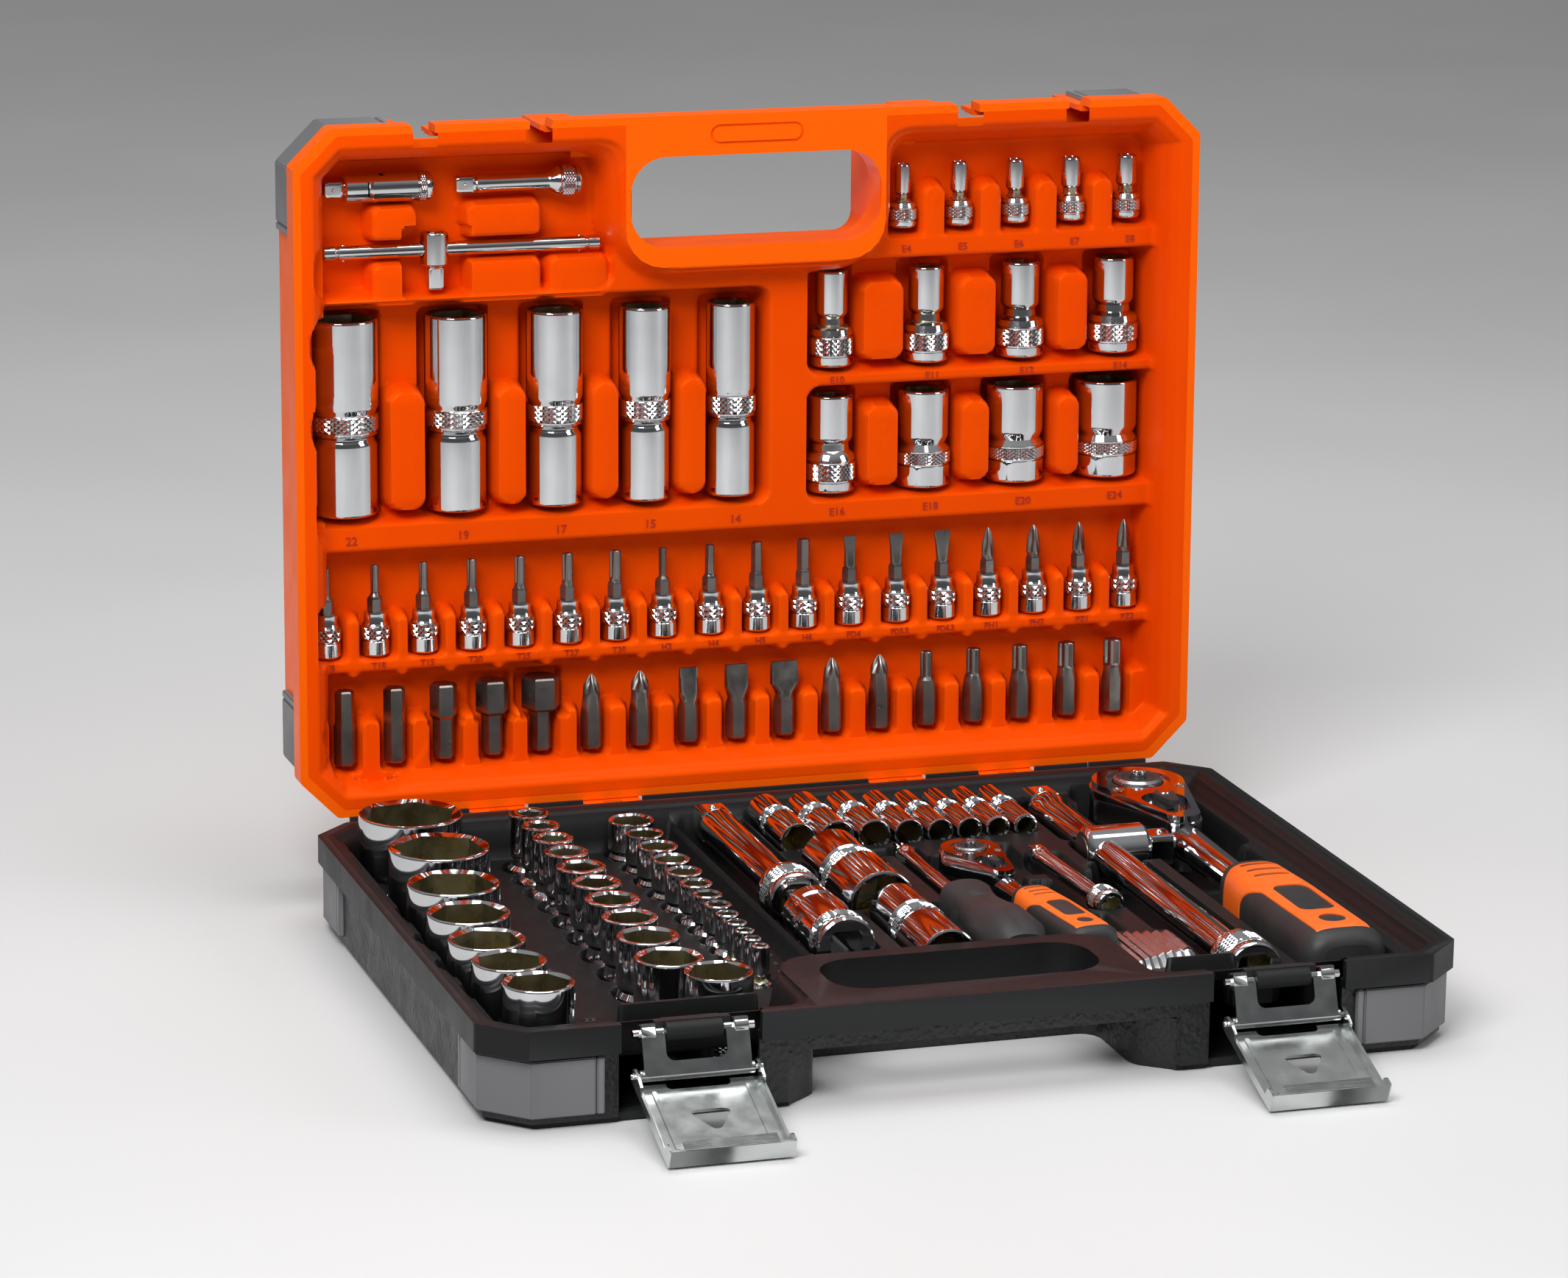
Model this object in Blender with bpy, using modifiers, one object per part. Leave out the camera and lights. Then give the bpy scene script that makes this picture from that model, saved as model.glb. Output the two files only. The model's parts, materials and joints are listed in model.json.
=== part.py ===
"""Socket wrench set in a hinged blow-moulded case, lid open.

Frame: +X right, +Y to the hinge side, +Z up, origin on the floor under the middle of the base.
All numbers below are millimetres; MM turns them into metres when a mesh is made.
The lid and everything in it is drawn in its closed place and turned open about the hinge.
"""
import math

import bmesh
import bpy
from mathutils import Euler, Matrix, Vector

MM = 0.001

# Case: one outline for both halves, a flange round each rim, and the walls set in below it.
WIDTH = 383.0
DEPTH = 281.0
CORNER = 15.5
BASE_HEIGHT = 38.3
LID_HEIGHT = 44.0
RIM_GAP = 0.6
FLANGE = 11.0
WALL_INSET = 3.5
BOTTOM_BEVEL = 2.0
SKIN = 3.0
CAVITY_HALF = 185.5
CAVITY_BACK = 131.0
BASE_CAVITY_FRONT = -131.0
LID_CAVITY_FRONT = -124.5
BACK_CORNER = 16.0
LID_FRONT_CORNER = 9.5
FIT = 0.4

# Hinge: barrels behind the base, pins inside them.
HINGE_Y = 146.0
HINGE_Z = 30.65
OPEN_ANGLE = 90.9
BARREL_R = 4.5
PIN_R = 2.0
BORE_R = 2.3
BASE_KNUCKLES = [(-145.9, -122.4), (-97.2, -74.3), (-48.8, 48.8), (74.3, 97.2), (122.4, 145.9)]
LID_KNUCKLES = [(-121.7, -97.9), (-73.6, -49.5), (49.5, 73.6), (97.9, 121.7)]

# Handle: a slot through both halves, and a finger recess under each grip bar.
SLOT = (-53.5, 53.5, -124.0, -87.0)
BASE_RECESS = 62.0
LID_RECESS = 54.2
RECESS_BACK = -84.0
GRIP_DEPTH = 17.0

# Latches, one each side of the handle.
LATCH_X = 114.2
WELL_HALF = 26.5
WELL_BACK = -134.5
LINK_AXIS = (-141.5, 34.6)
LEVER_AXIS = (-146.6, 20.2)
LEVER_REST = 109.5
LINK_BORE = 1.8
LEVER_BORE = 1.3
BAR_BOTTOM = 31.2
OUTSIDE = -150.0

# Lid side of the latch: slots beside the hook, and the groove whose lip the hook pulls on.
HOOK_NEAR = 19.3
HOOK_FAR = 27.3
HOOK_BACK = -133.0
CATCH_LIP = -135.2
CATCH_BACK = -128.8
CATCH_LOW = 57.5
CATCH_TOP = 63.0
BAR_HALF = 14.2
PLATE = 1.2

# Trays: surface heights and skin.
LOW_DECK = 22.0
HIGH_DECK = 31.0
LID_DECK = 14.0
DECK_SPLIT = -44.0
CUP = 1.6

# Standing half-inch sockets that lift out: size, outside diameter, height, x, y, top z.
LARGE_SOCKETS = [
    (32, 41.5, 44.0, -157.5, 107.5, 50.0),
    (30, 40.0, 44.0, -157.5, 61.5, 49.2),
    (27, 36.0, 42.0, -163.0, 17.0, 47.8),
    (24, 32.0, 40.0, -166.5, -20.0, 47.2),
    (23, 29.5, 39.0, -168.0, -53.0, 46.8),
    (22, 28.0, 38.0, -167.0, -82.0, 47.2),
    (21, 27.0, 38.0, -163.4, -109.8, 47.2),
]

# Fixed rows: outside diameters from back to front.
MID_ROW_X = -107.0
MID_ROW = [16.2, 15.6, 16.6, 17.8, 19.8, 19.8, 21.6, 21.6, 24.0, 26.0]
SMALL_ROW_X = -62.5
SMALL_ROW = [19.0, 15.6, 16.6, 15.6, 15.0, 13.4, 12.0, 11.0, 9.4, 8.6, 8.0, 7.4, 7.2]
DEEP_ROW = [15.2, 15.0, 14.0, 12.6, 11.4, 11.0, 10.6, 10.4]

# Deep half-inch sockets in the lid: size, outside diameter, x.
DEEP_SOCKETS = [(22, 28.4, -166.5), (19, 25.6, -120.2), (17, 23.2, -79.2), (15, 21.4, -41.3), (14, 20.2, -4.9)]
DEEP_LENGTH = 80.0
DEEP_FOOT = 121.0
LID_TOOL_FRONT = 12.2
DEEP_FRONT = 10.0


class Frame:
    """Collections, materials and empties that every piece shares."""

    parts = None
    cutters = None
    materials = {}
    empties = {}


def clear_scene():
    for item in list(bpy.data.objects):
        bpy.data.objects.remove(item, do_unlink=True)
    for group in list(bpy.data.collections):
        bpy.data.collections.remove(group)
    Frame.parts = bpy.data.collections.new("socket_wrench_set")
    Frame.cutters = bpy.data.collections.new("cutters")
    bpy.context.scene.collection.children.link(Frame.parts)
    bpy.context.scene.collection.children.link(Frame.cutters)


def material(name, colour, roughness, metallic):
    made = bpy.data.materials.new(name)
    made.use_nodes = True
    shader = made.node_tree.nodes["Principled BSDF"]
    shader.inputs["Base Color"].default_value = (*colour, 1.0)
    shader.inputs["Roughness"].default_value = roughness
    shader.inputs["Metallic"].default_value = metallic
    Frame.materials[name] = made


def make_materials():
    material("case_black", (0.03, 0.032, 0.034), 0.6, 0.0)
    material("case_orange", (0.95, 0.16, 0.01), 0.5, 0.0)
    material("chrome", (0.75, 0.75, 0.76), 0.12, 1.0)
    material("steel", (0.55, 0.55, 0.54), 0.3, 1.0)
    material("grip_orange", (0.95, 0.25, 0.02), 0.55, 0.0)
    material("grip_black", (0.02, 0.02, 0.02), 0.7, 0.0)


def empty(name, location, turn_x=0.0):
    """An empty on a joint axis. Its children are drawn in the case's own coordinates."""
    made = bpy.data.objects.new(name, None)
    made.location = Vector(location) * MM
    made.rotation_euler = Euler((math.radians(turn_x), 0.0, 0.0))
    Frame.parts.objects.link(made)
    Frame.empties[name] = (made, Vector(location) * MM)


def as_object(bm, parent=None):
    """A cutter-styled object from a bmesh in millimetres, hung on an empty if one is named."""
    bmesh.ops.scale(bm, vec=(MM, MM, MM), verts=bm.verts)
    bmesh.ops.recalc_face_normals(bm, faces=bm.faces)
    mesh = bpy.data.meshes.new("shape")
    bm.to_mesh(mesh)
    bm.free()
    made = bpy.data.objects.new("shape", mesh)
    made.hide_render = True
    made.display_type = "WIRE"
    Frame.cutters.objects.link(made)
    hang(made, parent)
    return made


def hang(item, parent):
    if parent:
        holder, place = Frame.empties[parent]
        item.parent = holder
        item.location = -place


def block(x0, x1, y0, y1, z0, z1, corner=0.0, parent=None):
    """A box, with its four upright edges cut at 45 degrees where corner is given."""
    bm = bmesh.new()
    bmesh.ops.create_cube(bm, size=1.0)
    bmesh.ops.scale(bm, vec=(x1 - x0, y1 - y0, z1 - z0), verts=bm.verts)
    bmesh.ops.translate(bm, vec=((x0 + x1) / 2, (y0 + y1) / 2, (z0 + z1) / 2), verts=bm.verts)
    if corner:
        upright = [e for e in bm.edges if abs(e.verts[0].co.z - e.verts[1].co.z) > 1e-6]
        bmesh.ops.bevel(bm, geom=upright, offset=corner * math.sqrt(2), offset_type="WIDTH",
                        segments=1, affect="EDGES")
    return as_object(bm, parent)


def rod(radius, start, end, sides=12, end_radius=None, parent=None):
    """A cylinder or cone between two points, a flat side up when it lies down."""
    start, end = Vector(start), Vector(end)
    run = end - start
    turn = run.to_track_quat("Z", "Y").to_matrix().to_4x4()
    bm = bmesh.new()
    second = radius if end_radius is None else end_radius
    spin = Matrix.Rotation(math.pi / sides, 4, "Z")
    bmesh.ops.create_cone(bm, cap_ends=True, segments=sides, radius1=radius, radius2=second,
                          depth=run.length, matrix=Matrix.Translation((start + end) / 2) @ turn @ spin)
    return as_object(bm, parent)


def hull(circles, z0, z1, sides=16, parent=None):
    """The convex plate round a list of circles (x, y, radius)."""
    bm = bmesh.new()
    for x, y, radius in circles:
        for z in (z0, z1):
            bmesh.ops.create_circle(bm, segments=sides, radius=radius,
                                    matrix=Matrix.Translation((x, y, z)))
    bmesh.ops.convex_hull(bm, input=bm.verts)
    loose = [v for v in bm.verts if not v.link_faces]
    bmesh.ops.delete(bm, geom=loose, context="VERTS")
    bmesh.ops.dissolve_limit(bm, angle_limit=0.01, verts=bm.verts, edges=bm.edges)
    return as_object(bm, parent)


def boolean(item, operation, others, tag):
    """One Boolean modifier with a collection of shapes as its operand."""
    if not others:
        return
    group = bpy.data.collections.new(tag)
    Frame.cutters.children.link(group)
    for other in others:
        Frame.cutters.objects.unlink(other)
        group.objects.link(other)
    change = item.modifiers.new(operation.lower(), "BOOLEAN")
    change.operation = operation
    change.operand_type = "COLLECTION"
    change.collection = group
    change.solver = "EXACT"


def node(name, finish, add, cut=()):
    """Turn the first shape into the named piece, with the rest joined to it and cut from it."""
    item = add[0]
    boolean(item, "UNION", add[1:], name + "_add")
    boolean(item, "DIFFERENCE", list(cut), name + "_cut")
    Frame.cutters.objects.unlink(item)
    Frame.parts.objects.link(item)
    item.name = name
    item.hide_render = False
    item.display_type = "TEXTURED"
    item.data.materials.append(Frame.materials[finish])
    return item


def tube(name, rings, place, axis="Z", steps=16, parent=None, finish="chrome"):
    """A turned ring: rings are (radius, height) points, down the outside and up the bore."""
    mesh = bpy.data.meshes.new(name)
    points = [(r * MM, 0.0, z * MM) for r, z in rings]
    mesh.from_pydata(points, [(i, (i + 1) % len(rings)) for i in range(len(rings))], [])
    mesh.materials.append(Frame.materials[finish])
    made = bpy.data.objects.new(name, mesh)
    turn = made.modifiers.new("turn", "SCREW")
    turn.steps = steps
    turn.render_steps = steps
    turn.use_merge_vertices = True
    turn.merge_threshold = 0.00001
    made.rotation_euler = {"Z": (0, 0, 0), "-Y": (math.pi / 2, 0, 0), "Y": (-math.pi / 2, 0, 0)}[axis]
    Frame.parts.objects.link(made)
    place = Vector(place) * MM
    if parent:
        holder, origin = Frame.empties[parent]
        made.parent = holder
        place = place - origin
    made.location = place
    return made


# ---------------------------------------------------------------- case

def depth_levels(lid):
    """Where a depth below the rim plane lies in z, and the half's full depth."""
    if lid:
        return lambda d: BASE_HEIGHT + RIM_GAP + d, LID_HEIGHT
    return lambda d: BASE_HEIGHT - d, BASE_HEIGHT


def case_half(lid):
    """Flange, set-in walls, cavity, grip bar, slot and finger recess of one half."""
    level, full = depth_levels(lid)
    parent = "lid_hinge" if lid else None

    def slab(x0, x1, y0, y1, d0, d1, corner=0.0):
        low, high = sorted((level(d0), level(d1)))
        return block(x0, x1, y0, y1, low, high, corner, parent)

    half_w, half_d = WIDTH / 2, DEPTH / 2
    inner_w, inner_d = half_w - WALL_INSET, half_d - WALL_INSET
    foot_w, foot_d = inner_w - BOTTOM_BEVEL, inner_d - BOTTOM_BEVEL
    add = [
        slab(-half_w, half_w, -half_d, half_d, 0.0, FLANGE, CORNER),
        slab(-inner_w, inner_w, -inner_d, inner_d, FLANGE - 1.0, full - BOTTOM_BEVEL, CORNER),
        slab(-foot_w, foot_w, -foot_d, foot_d, full - BOTTOM_BEVEL - 1.0, full, CORNER),
    ]
    low, high = sorted((level(-1.0), level(full - SKIN)))
    recess = LID_RECESS if lid else BASE_RECESS
    cut = cavity(low, high, 0.0, lid) + [
        slab(SLOT[0], SLOT[1], SLOT[2], SLOT[3], -1.0, full + 1.0),
        slab(-recess, recess, -half_d - 1.0, RECESS_BACK, GRIP_DEPTH, full + 1.0),
    ]
    return add, cut


def cavity(low, high, inset, lid):
    """The cavity's plan as three overlapping slabs, drawn in all round by the inset."""
    left, right, back = inset - CAVITY_HALF, CAVITY_HALF - inset, CAVITY_BACK - inset
    front = (LID_CAVITY_FRONT if lid else BASE_CAVITY_FRONT) + inset
    near = LID_FRONT_CORNER if lid else BACK_CORNER
    parent = "lid_hinge" if lid else None
    wall_x = (LID_RECESS if lid else BASE_RECESS) + SKIN + 0.8 + inset
    wall_y = RECESS_BACK + SKIN + 1.0 + inset
    return [
        block(left, right, wall_y, back, low, high, BACK_CORNER, parent),
        block(left, -wall_x, front, wall_y + 60.0, low, high, near, parent),
        block(wall_x, right, front, wall_y + 60.0, low, high, near, parent),
    ]


def base_shell():
    add, cut = case_half(False)
    for x0, x1 in BASE_KNUCKLES:
        add.append(rod(BARREL_R, (x0, HINGE_Y, HINGE_Z), (x1, HINGE_Y, HINGE_Z)))
        add.append(block(x0, x1, DEPTH / 2 - 1.0, HINGE_Y, HINGE_Z - BARREL_R, HINGE_Z + 1.5))
    for side in (-1, 1):
        cut.append(rod(BORE_R, (34.0 * side, HINGE_Y, HINGE_Z), (150.0 * side, HINGE_Y, HINGE_Z)))
        middle = side * LATCH_X
        y, z = LINK_AXIS
        bar, rim = BAR_HALF, BASE_HEIGHT + 0.7
        cut.append(block(middle - WELL_HALF, middle - bar, OUTSIDE, WELL_BACK, -1.0, rim))
        cut.append(block(middle + bar, middle + WELL_HALF, OUTSIDE, WELL_BACK, -1.0, rim))
        cut.append(block(middle - bar - 1.0, middle + bar + 1.0, OUTSIDE, WELL_BACK, -1.0, BAR_BOTTOM))
        cut.append(block(middle - bar, middle + bar, OUTSIDE, y + 0.5, BASE_HEIGHT - 0.5, rim))
        cut.append(rod(LINK_BORE, (middle - 20.0, y, z), (middle + 20.0, y, z)))
        add.append(rod(3.3, (middle - bar, y, z), (middle + bar, y, z)))
        add.append(block(middle - bar, middle + bar, y, WELL_BACK + 3.0, BAR_BOTTOM + 0.1, z + 3.0))
    return node("base_shell", "case_black", add, cut)


def lid_shell():
    add, cut = case_half(True)
    parent = "lid_hinge"
    flange_top = BASE_HEIGHT + RIM_GAP + FLANGE
    for x0, x1 in LID_KNUCKLES:
        add.append(rod(BARREL_R, (x0, HINGE_Y, HINGE_Z), (x1, HINGE_Y, HINGE_Z), parent=parent))
        add.append(block(x0, x1, DEPTH / 2 + 0.6, HINGE_Y + 3.0, HINGE_Z, 42.0, parent=parent))
        add.append(block(x0, x1, DEPTH / 2 - 2.0, HINGE_Y + 3.0, 39.5, 42.0, parent=parent))
    for side in (-1, 1):
        cut.append(rod(BORE_R, (34.0 * side, HINGE_Y, HINGE_Z), (150.0 * side, HINGE_Y, HINGE_Z),
                       parent=parent))
        middle = side * LATCH_X
        for edge in (-1, 1):
            near, far = sorted((middle + edge * HOOK_NEAR, middle + edge * HOOK_FAR))
            cut.append(block(near, far, OUTSIDE, HOOK_BACK, 38.0, flange_top + 1.0, parent=parent))
            cut.append(block(near, far, OUTSIDE, CATCH_BACK, flange_top - 1.0, CATCH_TOP, parent=parent))
        near, far = middle - HOOK_FAR, middle + HOOK_FAR
        cut.append(block(near, far, OUTSIDE, CATCH_BACK, CATCH_TOP - 1.0, 90.0, parent=parent))
        cut.append(block(near, far, CATCH_LIP, CATCH_BACK, CATCH_LOW, CATCH_TOP, parent=parent))
    return node("lid_shell", "case_orange", add, cut)


def hinge_pins():
    for name, side in (("hinge_pin_left", -1), ("hinge_pin_right", 1)):
        ends = sorted((36.0 * side, 145.0 * side))
        node(name, "steel", [rod(PIN_R, (ends[0], HINGE_Y, HINGE_Z), (ends[1], HINGE_Y, HINGE_Z))])


# ---------------------------------------------------------------- latches

def latch(side_name, side):
    """Pin in the base's bar, U-shaped link, pin through its rolled foot, and the hooked lever."""
    middle = side * LATCH_X
    y, z = LINK_AXIS
    foot_y, foot_z = LEVER_AXIS
    lean = math.degrees(math.atan2(y - foot_y, z - foot_z))
    length = math.hypot(y - foot_y, z - foot_z)
    link, lever = "latch_%s_link_axis" % side_name, "latch_%s_lever_axis" % side_name
    empty(link, (middle, y, z), -lean)
    empty(lever, (middle, foot_y, foot_z), LEVER_REST)
    prefix = "latch_%s_" % side_name
    node(prefix + "link_pin", "steel", [rod(1.5, (middle - 22.8, y, z), (middle + 22.8, y, z))])

    def plate(x0, x1, y0, y1, z0, z1, parent=link):
        holder = LINK_AXIS if parent == link else LEVER_AXIS
        return block(middle + x0, middle + x1, holder[0] + y0, holder[0] + y1,
                     holder[1] + z0, holder[1] + z1, parent=parent)

    add = [plate(-20.2, 20.2, -2.8, -2.8 + PLATE, -length + 1.0, -6.5)]
    add.append(plate(-22.0, 22.0, -2.8, -2.8 + PLATE, -length, -length + 4.0))
    for edge in (-1, 1):
        near, far = sorted((edge * (BAR_HALF + 0.5), edge * 20.2))
        add.append(plate(near, far, -2.8, -2.8 + PLATE, -7.0, 1.0))
        add.append(rod(3.4, (middle + near, y, z), (middle + far, y, z), parent=link))
    add.append(rod(2.3, (middle - 22.0, y, z - length), (middle + 22.0, y, z - length), parent=link))
    cut = [rod(LINK_BORE, (middle - 30.0, y, z), (middle + 30.0, y, z), parent=link),
           rod(LEVER_BORE, (middle - 30.0, y, z - length), (middle + 30.0, y, z - length), parent=link)]
    node(prefix + "link", "steel", add, cut)

    foot = LEVER_AXIS
    pin_ends = (middle - 24.8, *foot), (middle + 24.8, *foot)
    node(prefix + "lever_pin", "steel", [rod(1.0, pin_ends[0], pin_ends[1])])
    back = -2.8
    add = [plate(-23.6, 23.6, back - PLATE, back, 2.0, 48.0, lever)]
    for edge in (-1, 1):
        near, far = sorted((edge * 22.4, edge * 23.6))
        add.append(plate(near, far, back - PLATE, -0.5, 2.0, 46.0, lever))
        add.append(plate(near, far, back - PLATE, 2.6, -3.0, 8.0, lever))
        add.append(plate(near, far, back - PLATE, 3.6, 41.0, 48.0, lever))
    add.append(plate(-23.6, 23.6, back - PLATE, 3.5, 48.0 - PLATE, 48.0, lever))
    add.append(plate(-17.6, 17.6, 3.5 - PLATE, 3.5, 42.0, 48.0, lever))
    cut = [rod(LEVER_BORE, (middle - 30.0, *foot), (middle + 30.0, *foot), parent=lever)]
    node(prefix + "lever", "steel", add, cut)


# ---------------------------------------------------------------- trays

def cup_round(x, y, radius, floor, deck, sides=14):
    """A round pocket: its outer wall to join to the deck, and its space to cut."""
    outer = rod(radius + FIT + CUP, (x, y, floor - CUP), (x, y, deck - 0.5), sides)
    space = rod(radius + FIT, (x, y, floor), (x, y, deck + 40.0), sides)
    return outer, space


def cup_box(x0, x1, y0, y1, floor, deck, corner=0.0):
    outer = block(x0 - CUP, x1 + CUP, y0 - CUP, y1 + CUP, floor - CUP, deck - 0.5, corner)
    space = block(x0, x1, y0, y1, floor, deck + 40.0, corner)
    return outer, space


def base_tray():
    add = cavity(LOW_DECK - SKIN, LOW_DECK, FIT, False)
    plateau, stray, front = cavity(LOW_DECK - SKIN + 0.5, HIGH_DECK, FIT, False)
    bpy.data.objects.remove(stray)
    low_side = block(-CAVITY_HALF, DECK_SPLIT, BASE_CAVITY_FRONT, CAVITY_BACK, LOW_DECK, HIGH_DECK + 1.0)
    boolean(plateau, "DIFFERENCE", [low_side], "plateau_step")
    add += [plateau, front]
    cut = []
    for size, width, height, x, y, top in LARGE_SOCKETS:
        outer, space = cup_round(x, y, width / 2, top - height - FIT, LOW_DECK)
        add.append(outer)
        cut.append(space)
    for x0, x1, y0, y1, floor, corner in POCKETS:
        outer, space = cup_box(x0, x1, y0, y1, floor, HIGH_DECK, corner)
        add.append(outer)
        cut.append(space)
    tools = fixed_tools()
    item = node("base_tray", "case_black", add, cut)
    boolean(item, "UNION", tools, "base_tray_tools")
    return item


def row(sizes, x, back, gap, low, high, sides=8):
    """Rods standing in a row from back to front, edge to edge with a gap between."""
    made = []
    y = back
    for width in sizes:
        y -= width / 2
        made.append(rod(width / 2, (x, y, low), (x, y, high), sides))
        y -= width / 2 + gap
    return made


def fixed_tools():
    """The rows of small sockets, joined to the tray that holds them."""
    made = row(MID_ROW, MID_ROW_X, 122.5, 2.4, 18.0, 45.0)
    made.append(rod(13.0, (-94.0, -106.0, 18.0), (-94.0, -106.0, 45.0), 8))
    made += row(SMALL_ROW, SMALL_ROW_X, 130.0, 2.6, 18.0, 37.0)
    x = -11.8
    for width in DEEP_ROW:
        x += width / 2
        z = HIGH_DECK + width * 0.2
        made.append(rod(width / 2, (x, 80.0, z), (x, 128.0, z), 8))
        x += width / 2 + 1.4
    return made


# Pockets of the lying tools: x0, x1, y0, y1, floor, corner.
POCKETS = [
    (-41.5, -14.5, 4.0, 128.5, 20.5, 0.0),
    (-41.5, -14.5, -57.5, 4.0, 19.3, 0.0),
    (-11.2, 18.2, -5.5, 62.5, 17.2, 0.0),
    (-5.0, 18.2, -76.0, -5.5, 20.2, 0.0),
    (22.0, 49.8, -77.4, -4.0, 14.8, 0.0),
    (30.5, 41.5, -4.0, 73.5, 24.0, 0.0),
    (41.0, 70.0, 2.0, 56.0, 13.5, 10.0),
    (50.9, 78.6, -77.4, 14.0, 19.5, 0.0),
    (80.2, 96.0, -30.0, 50.5, 24.6, 0.0),
    (104.0, 145.5, 30.0, 62.0, 17.6, 0.0),
    (100.6, 124.6, -120.4, 30.0, 17.6, 0.0),
    (104.0, 121.2, 62.0, 125.5, 22.2, 0.0),
    (129.0, 175.0, 40.0, 128.8, 4.7, 10.0),
    (133.0, 171.0, -119.0, 40.0, 10.4, 0.0),
]


def lid_deck(depth):
    return BASE_HEIGHT + RIM_GAP + depth


def lid_y(height):
    """Height above the open lid's lower edge, as y in the closed lid."""
    return DEPTH / 2 - height


LID_POCKETS = [
    (-176.5, -129.5, 247.4, 260.6, 13.0),
    (-122.2, -68.0, 247.4, 260.6, 13.0),
    (-177.5, -60.4, 223.5, 233.0, 11.0),
    (-143.0, -116.6, 210.0, 237.5, 12.4),
]


def lid_tray():
    """Deck with pockets drawn from the front down: depths are measured from the rim plane."""
    parent = "lid_hinge"
    deck = lid_deck(LID_DECK)
    add = cavity(deck, deck + SKIN, FIT, True)
    cut = []
    shallow = LID_TOOL_FRONT - DEEP_FRONT
    spaces = [(x - w / 2 - FIT, x + w / 2 + FIT, DEEP_FOOT - FIT, DEEP_FOOT + DEEP_LENGTH + FIT,
               w + FIT - shallow) for size, w, x in DEEP_SOCKETS]
    for x0, x1, v0, v1, depth in spaces + LID_POCKETS:
        floor = lid_deck(LID_TOOL_FRONT + depth)
        y0, y1 = lid_y(v1), lid_y(v0)
        add.append(block(x0 - CUP, x1 + CUP, y0 - CUP, y1 + CUP, deck + 0.5, floor + CUP, parent=parent))
        cut.append(block(x0, x1, y0, y1, deck - 5.0, floor, parent=parent))
    tools = lid_fixed_tools(parent)
    item = node("lid_tray", "case_orange", add, cut)
    boolean(item, "UNION", tools, "lid_tray_tools")
    return item


def lid_fixed_tools(parent):
    """Bit sockets, bits and star sockets, joined to the lid tray that holds them."""
    made = []

    def lying(x, v0, v1, width, sides):
        z = lid_deck(LID_TOOL_FRONT + width / 2)
        made.append(rod(width / 2, (x, lid_y(v0), z), (x, lid_y(v1), z), sides, parent=parent))

    for i in range(18):
        lying(-176.0 + 20.25 * i, 63.0, 100.0, 11.6, 6)
    for i in range(17):
        lying(-169.3 + 20.8 * i, 18.0, 49.0, 8.0, 6)
    for i in range(5):
        lying(68.0 + 24.5 * i, 229.0, 255.0, 11.8, 6)
    for i in range(4):
        lying(38.6 + 41.4 * i, 172.3, 212.0, 18.0 + i, 8)
        lying(39.0 + 40.8 * i, 119.4, 160.0, 21.0 + 2.0 * i, 8)
    return made


# ---------------------------------------------------------------- tools

def socket(name, width, length, place, axis="Z", drive=6.8, parent=None):
    """A turned socket: mouth at the top, drive hole through the foot, a groove round its middle."""
    outer, mouth = width / 2, width / 2 - max(1.8, width * 0.09)
    neck = outer - 0.6
    rings = [(outer, length), (outer, length * 0.55), (neck, length * 0.5), (neck, 0.0),
             (drive, 0.0), (drive, length * 0.42), (mouth, length * 0.48), (mouth, length)]
    return tube(name, rings, place, axis, steps=14, parent=parent)


def large_sockets():
    for size, width, height, x, y, top in LARGE_SOCKETS:
        socket("socket_half_%d" % size, width, height, (x, y, top - height))


def deep_sockets():
    for size, width, x in DEEP_SOCKETS:
        z = lid_deck(DEEP_FRONT + width / 2)
        socket("deep_socket_%d" % size, width, DEEP_LENGTH, (x, lid_y(DEEP_FOOT), z), "-Y",
               parent="lid_hinge")


def plug_sockets():
    socket("spark_plug_socket_21", 27.6, 66.0, (3.5, 61.5, 31.5), "-Y")
    socket("spark_plug_socket_16", 22.0, 65.0, (6.6, -10.0, 31.5), "-Y", drive=6.6)


def extension(drive, tip, mouth, bar_r, head_r, head_len, parent=None):
    """A bar with a square drive at its tip and a socket at its mouth, between two points."""
    tip, mouth = Vector(tip), Vector(mouth)
    run = (mouth - tip).normalized()
    square_len = drive * 1.15
    bar_start = tip + run * (square_len - 0.5)
    head_start = mouth - run * head_len
    knurl_start = head_start - run * head_len * 0.7
    half = drive / 2 * math.sqrt(2)
    add = [rod(bar_r, bar_start, head_start + run * 0.5, 10, parent=parent),
           rod(half, tip, bar_start + run, 4, parent=parent),
           rod(bar_r * 1.12, knurl_start, head_start + run * 0.5, 10, parent=parent),
           rod(head_r, head_start, mouth, 12, parent=parent)]
    cut = [rod(half * 1.03, mouth - run * drive * 0.9, mouth + run * 2.0, 4, parent=parent)]
    return add, cut


def extensions():
    add, cut = extension(12.7, (-28.0, 127.5, 32.5), (-28.0, 5.0, 32.5),
                         7.6, 11.6, 22.0)
    node("extension_half_125", "chrome", add, cut)
    add, cut = extension(12.7, (112.6, 124.0, 30.5), (112.6, -119.6, 30.5),
                         6.8, 11.4, 24.0)
    node("extension_half_250", "chrome", add, cut)
    add, cut = extension(6.35, (85.2, 49.6, 31.6), (88.8, -29.2, 31.6),
                         3.6, 6.2, 12.0)
    node("extension_quarter_75", "chrome", add, cut)
    z = lid_deck(LID_TOOL_FRONT + 6.0)
    add, cut = extension(6.35, (-121.0, lid_y(254.0), z),
                         (-69.2, lid_y(254.0), z), 3.6, 5.9, 12.0, "lid_hinge")
    node("extension_quarter_50", "chrome", add, cut)


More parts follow.
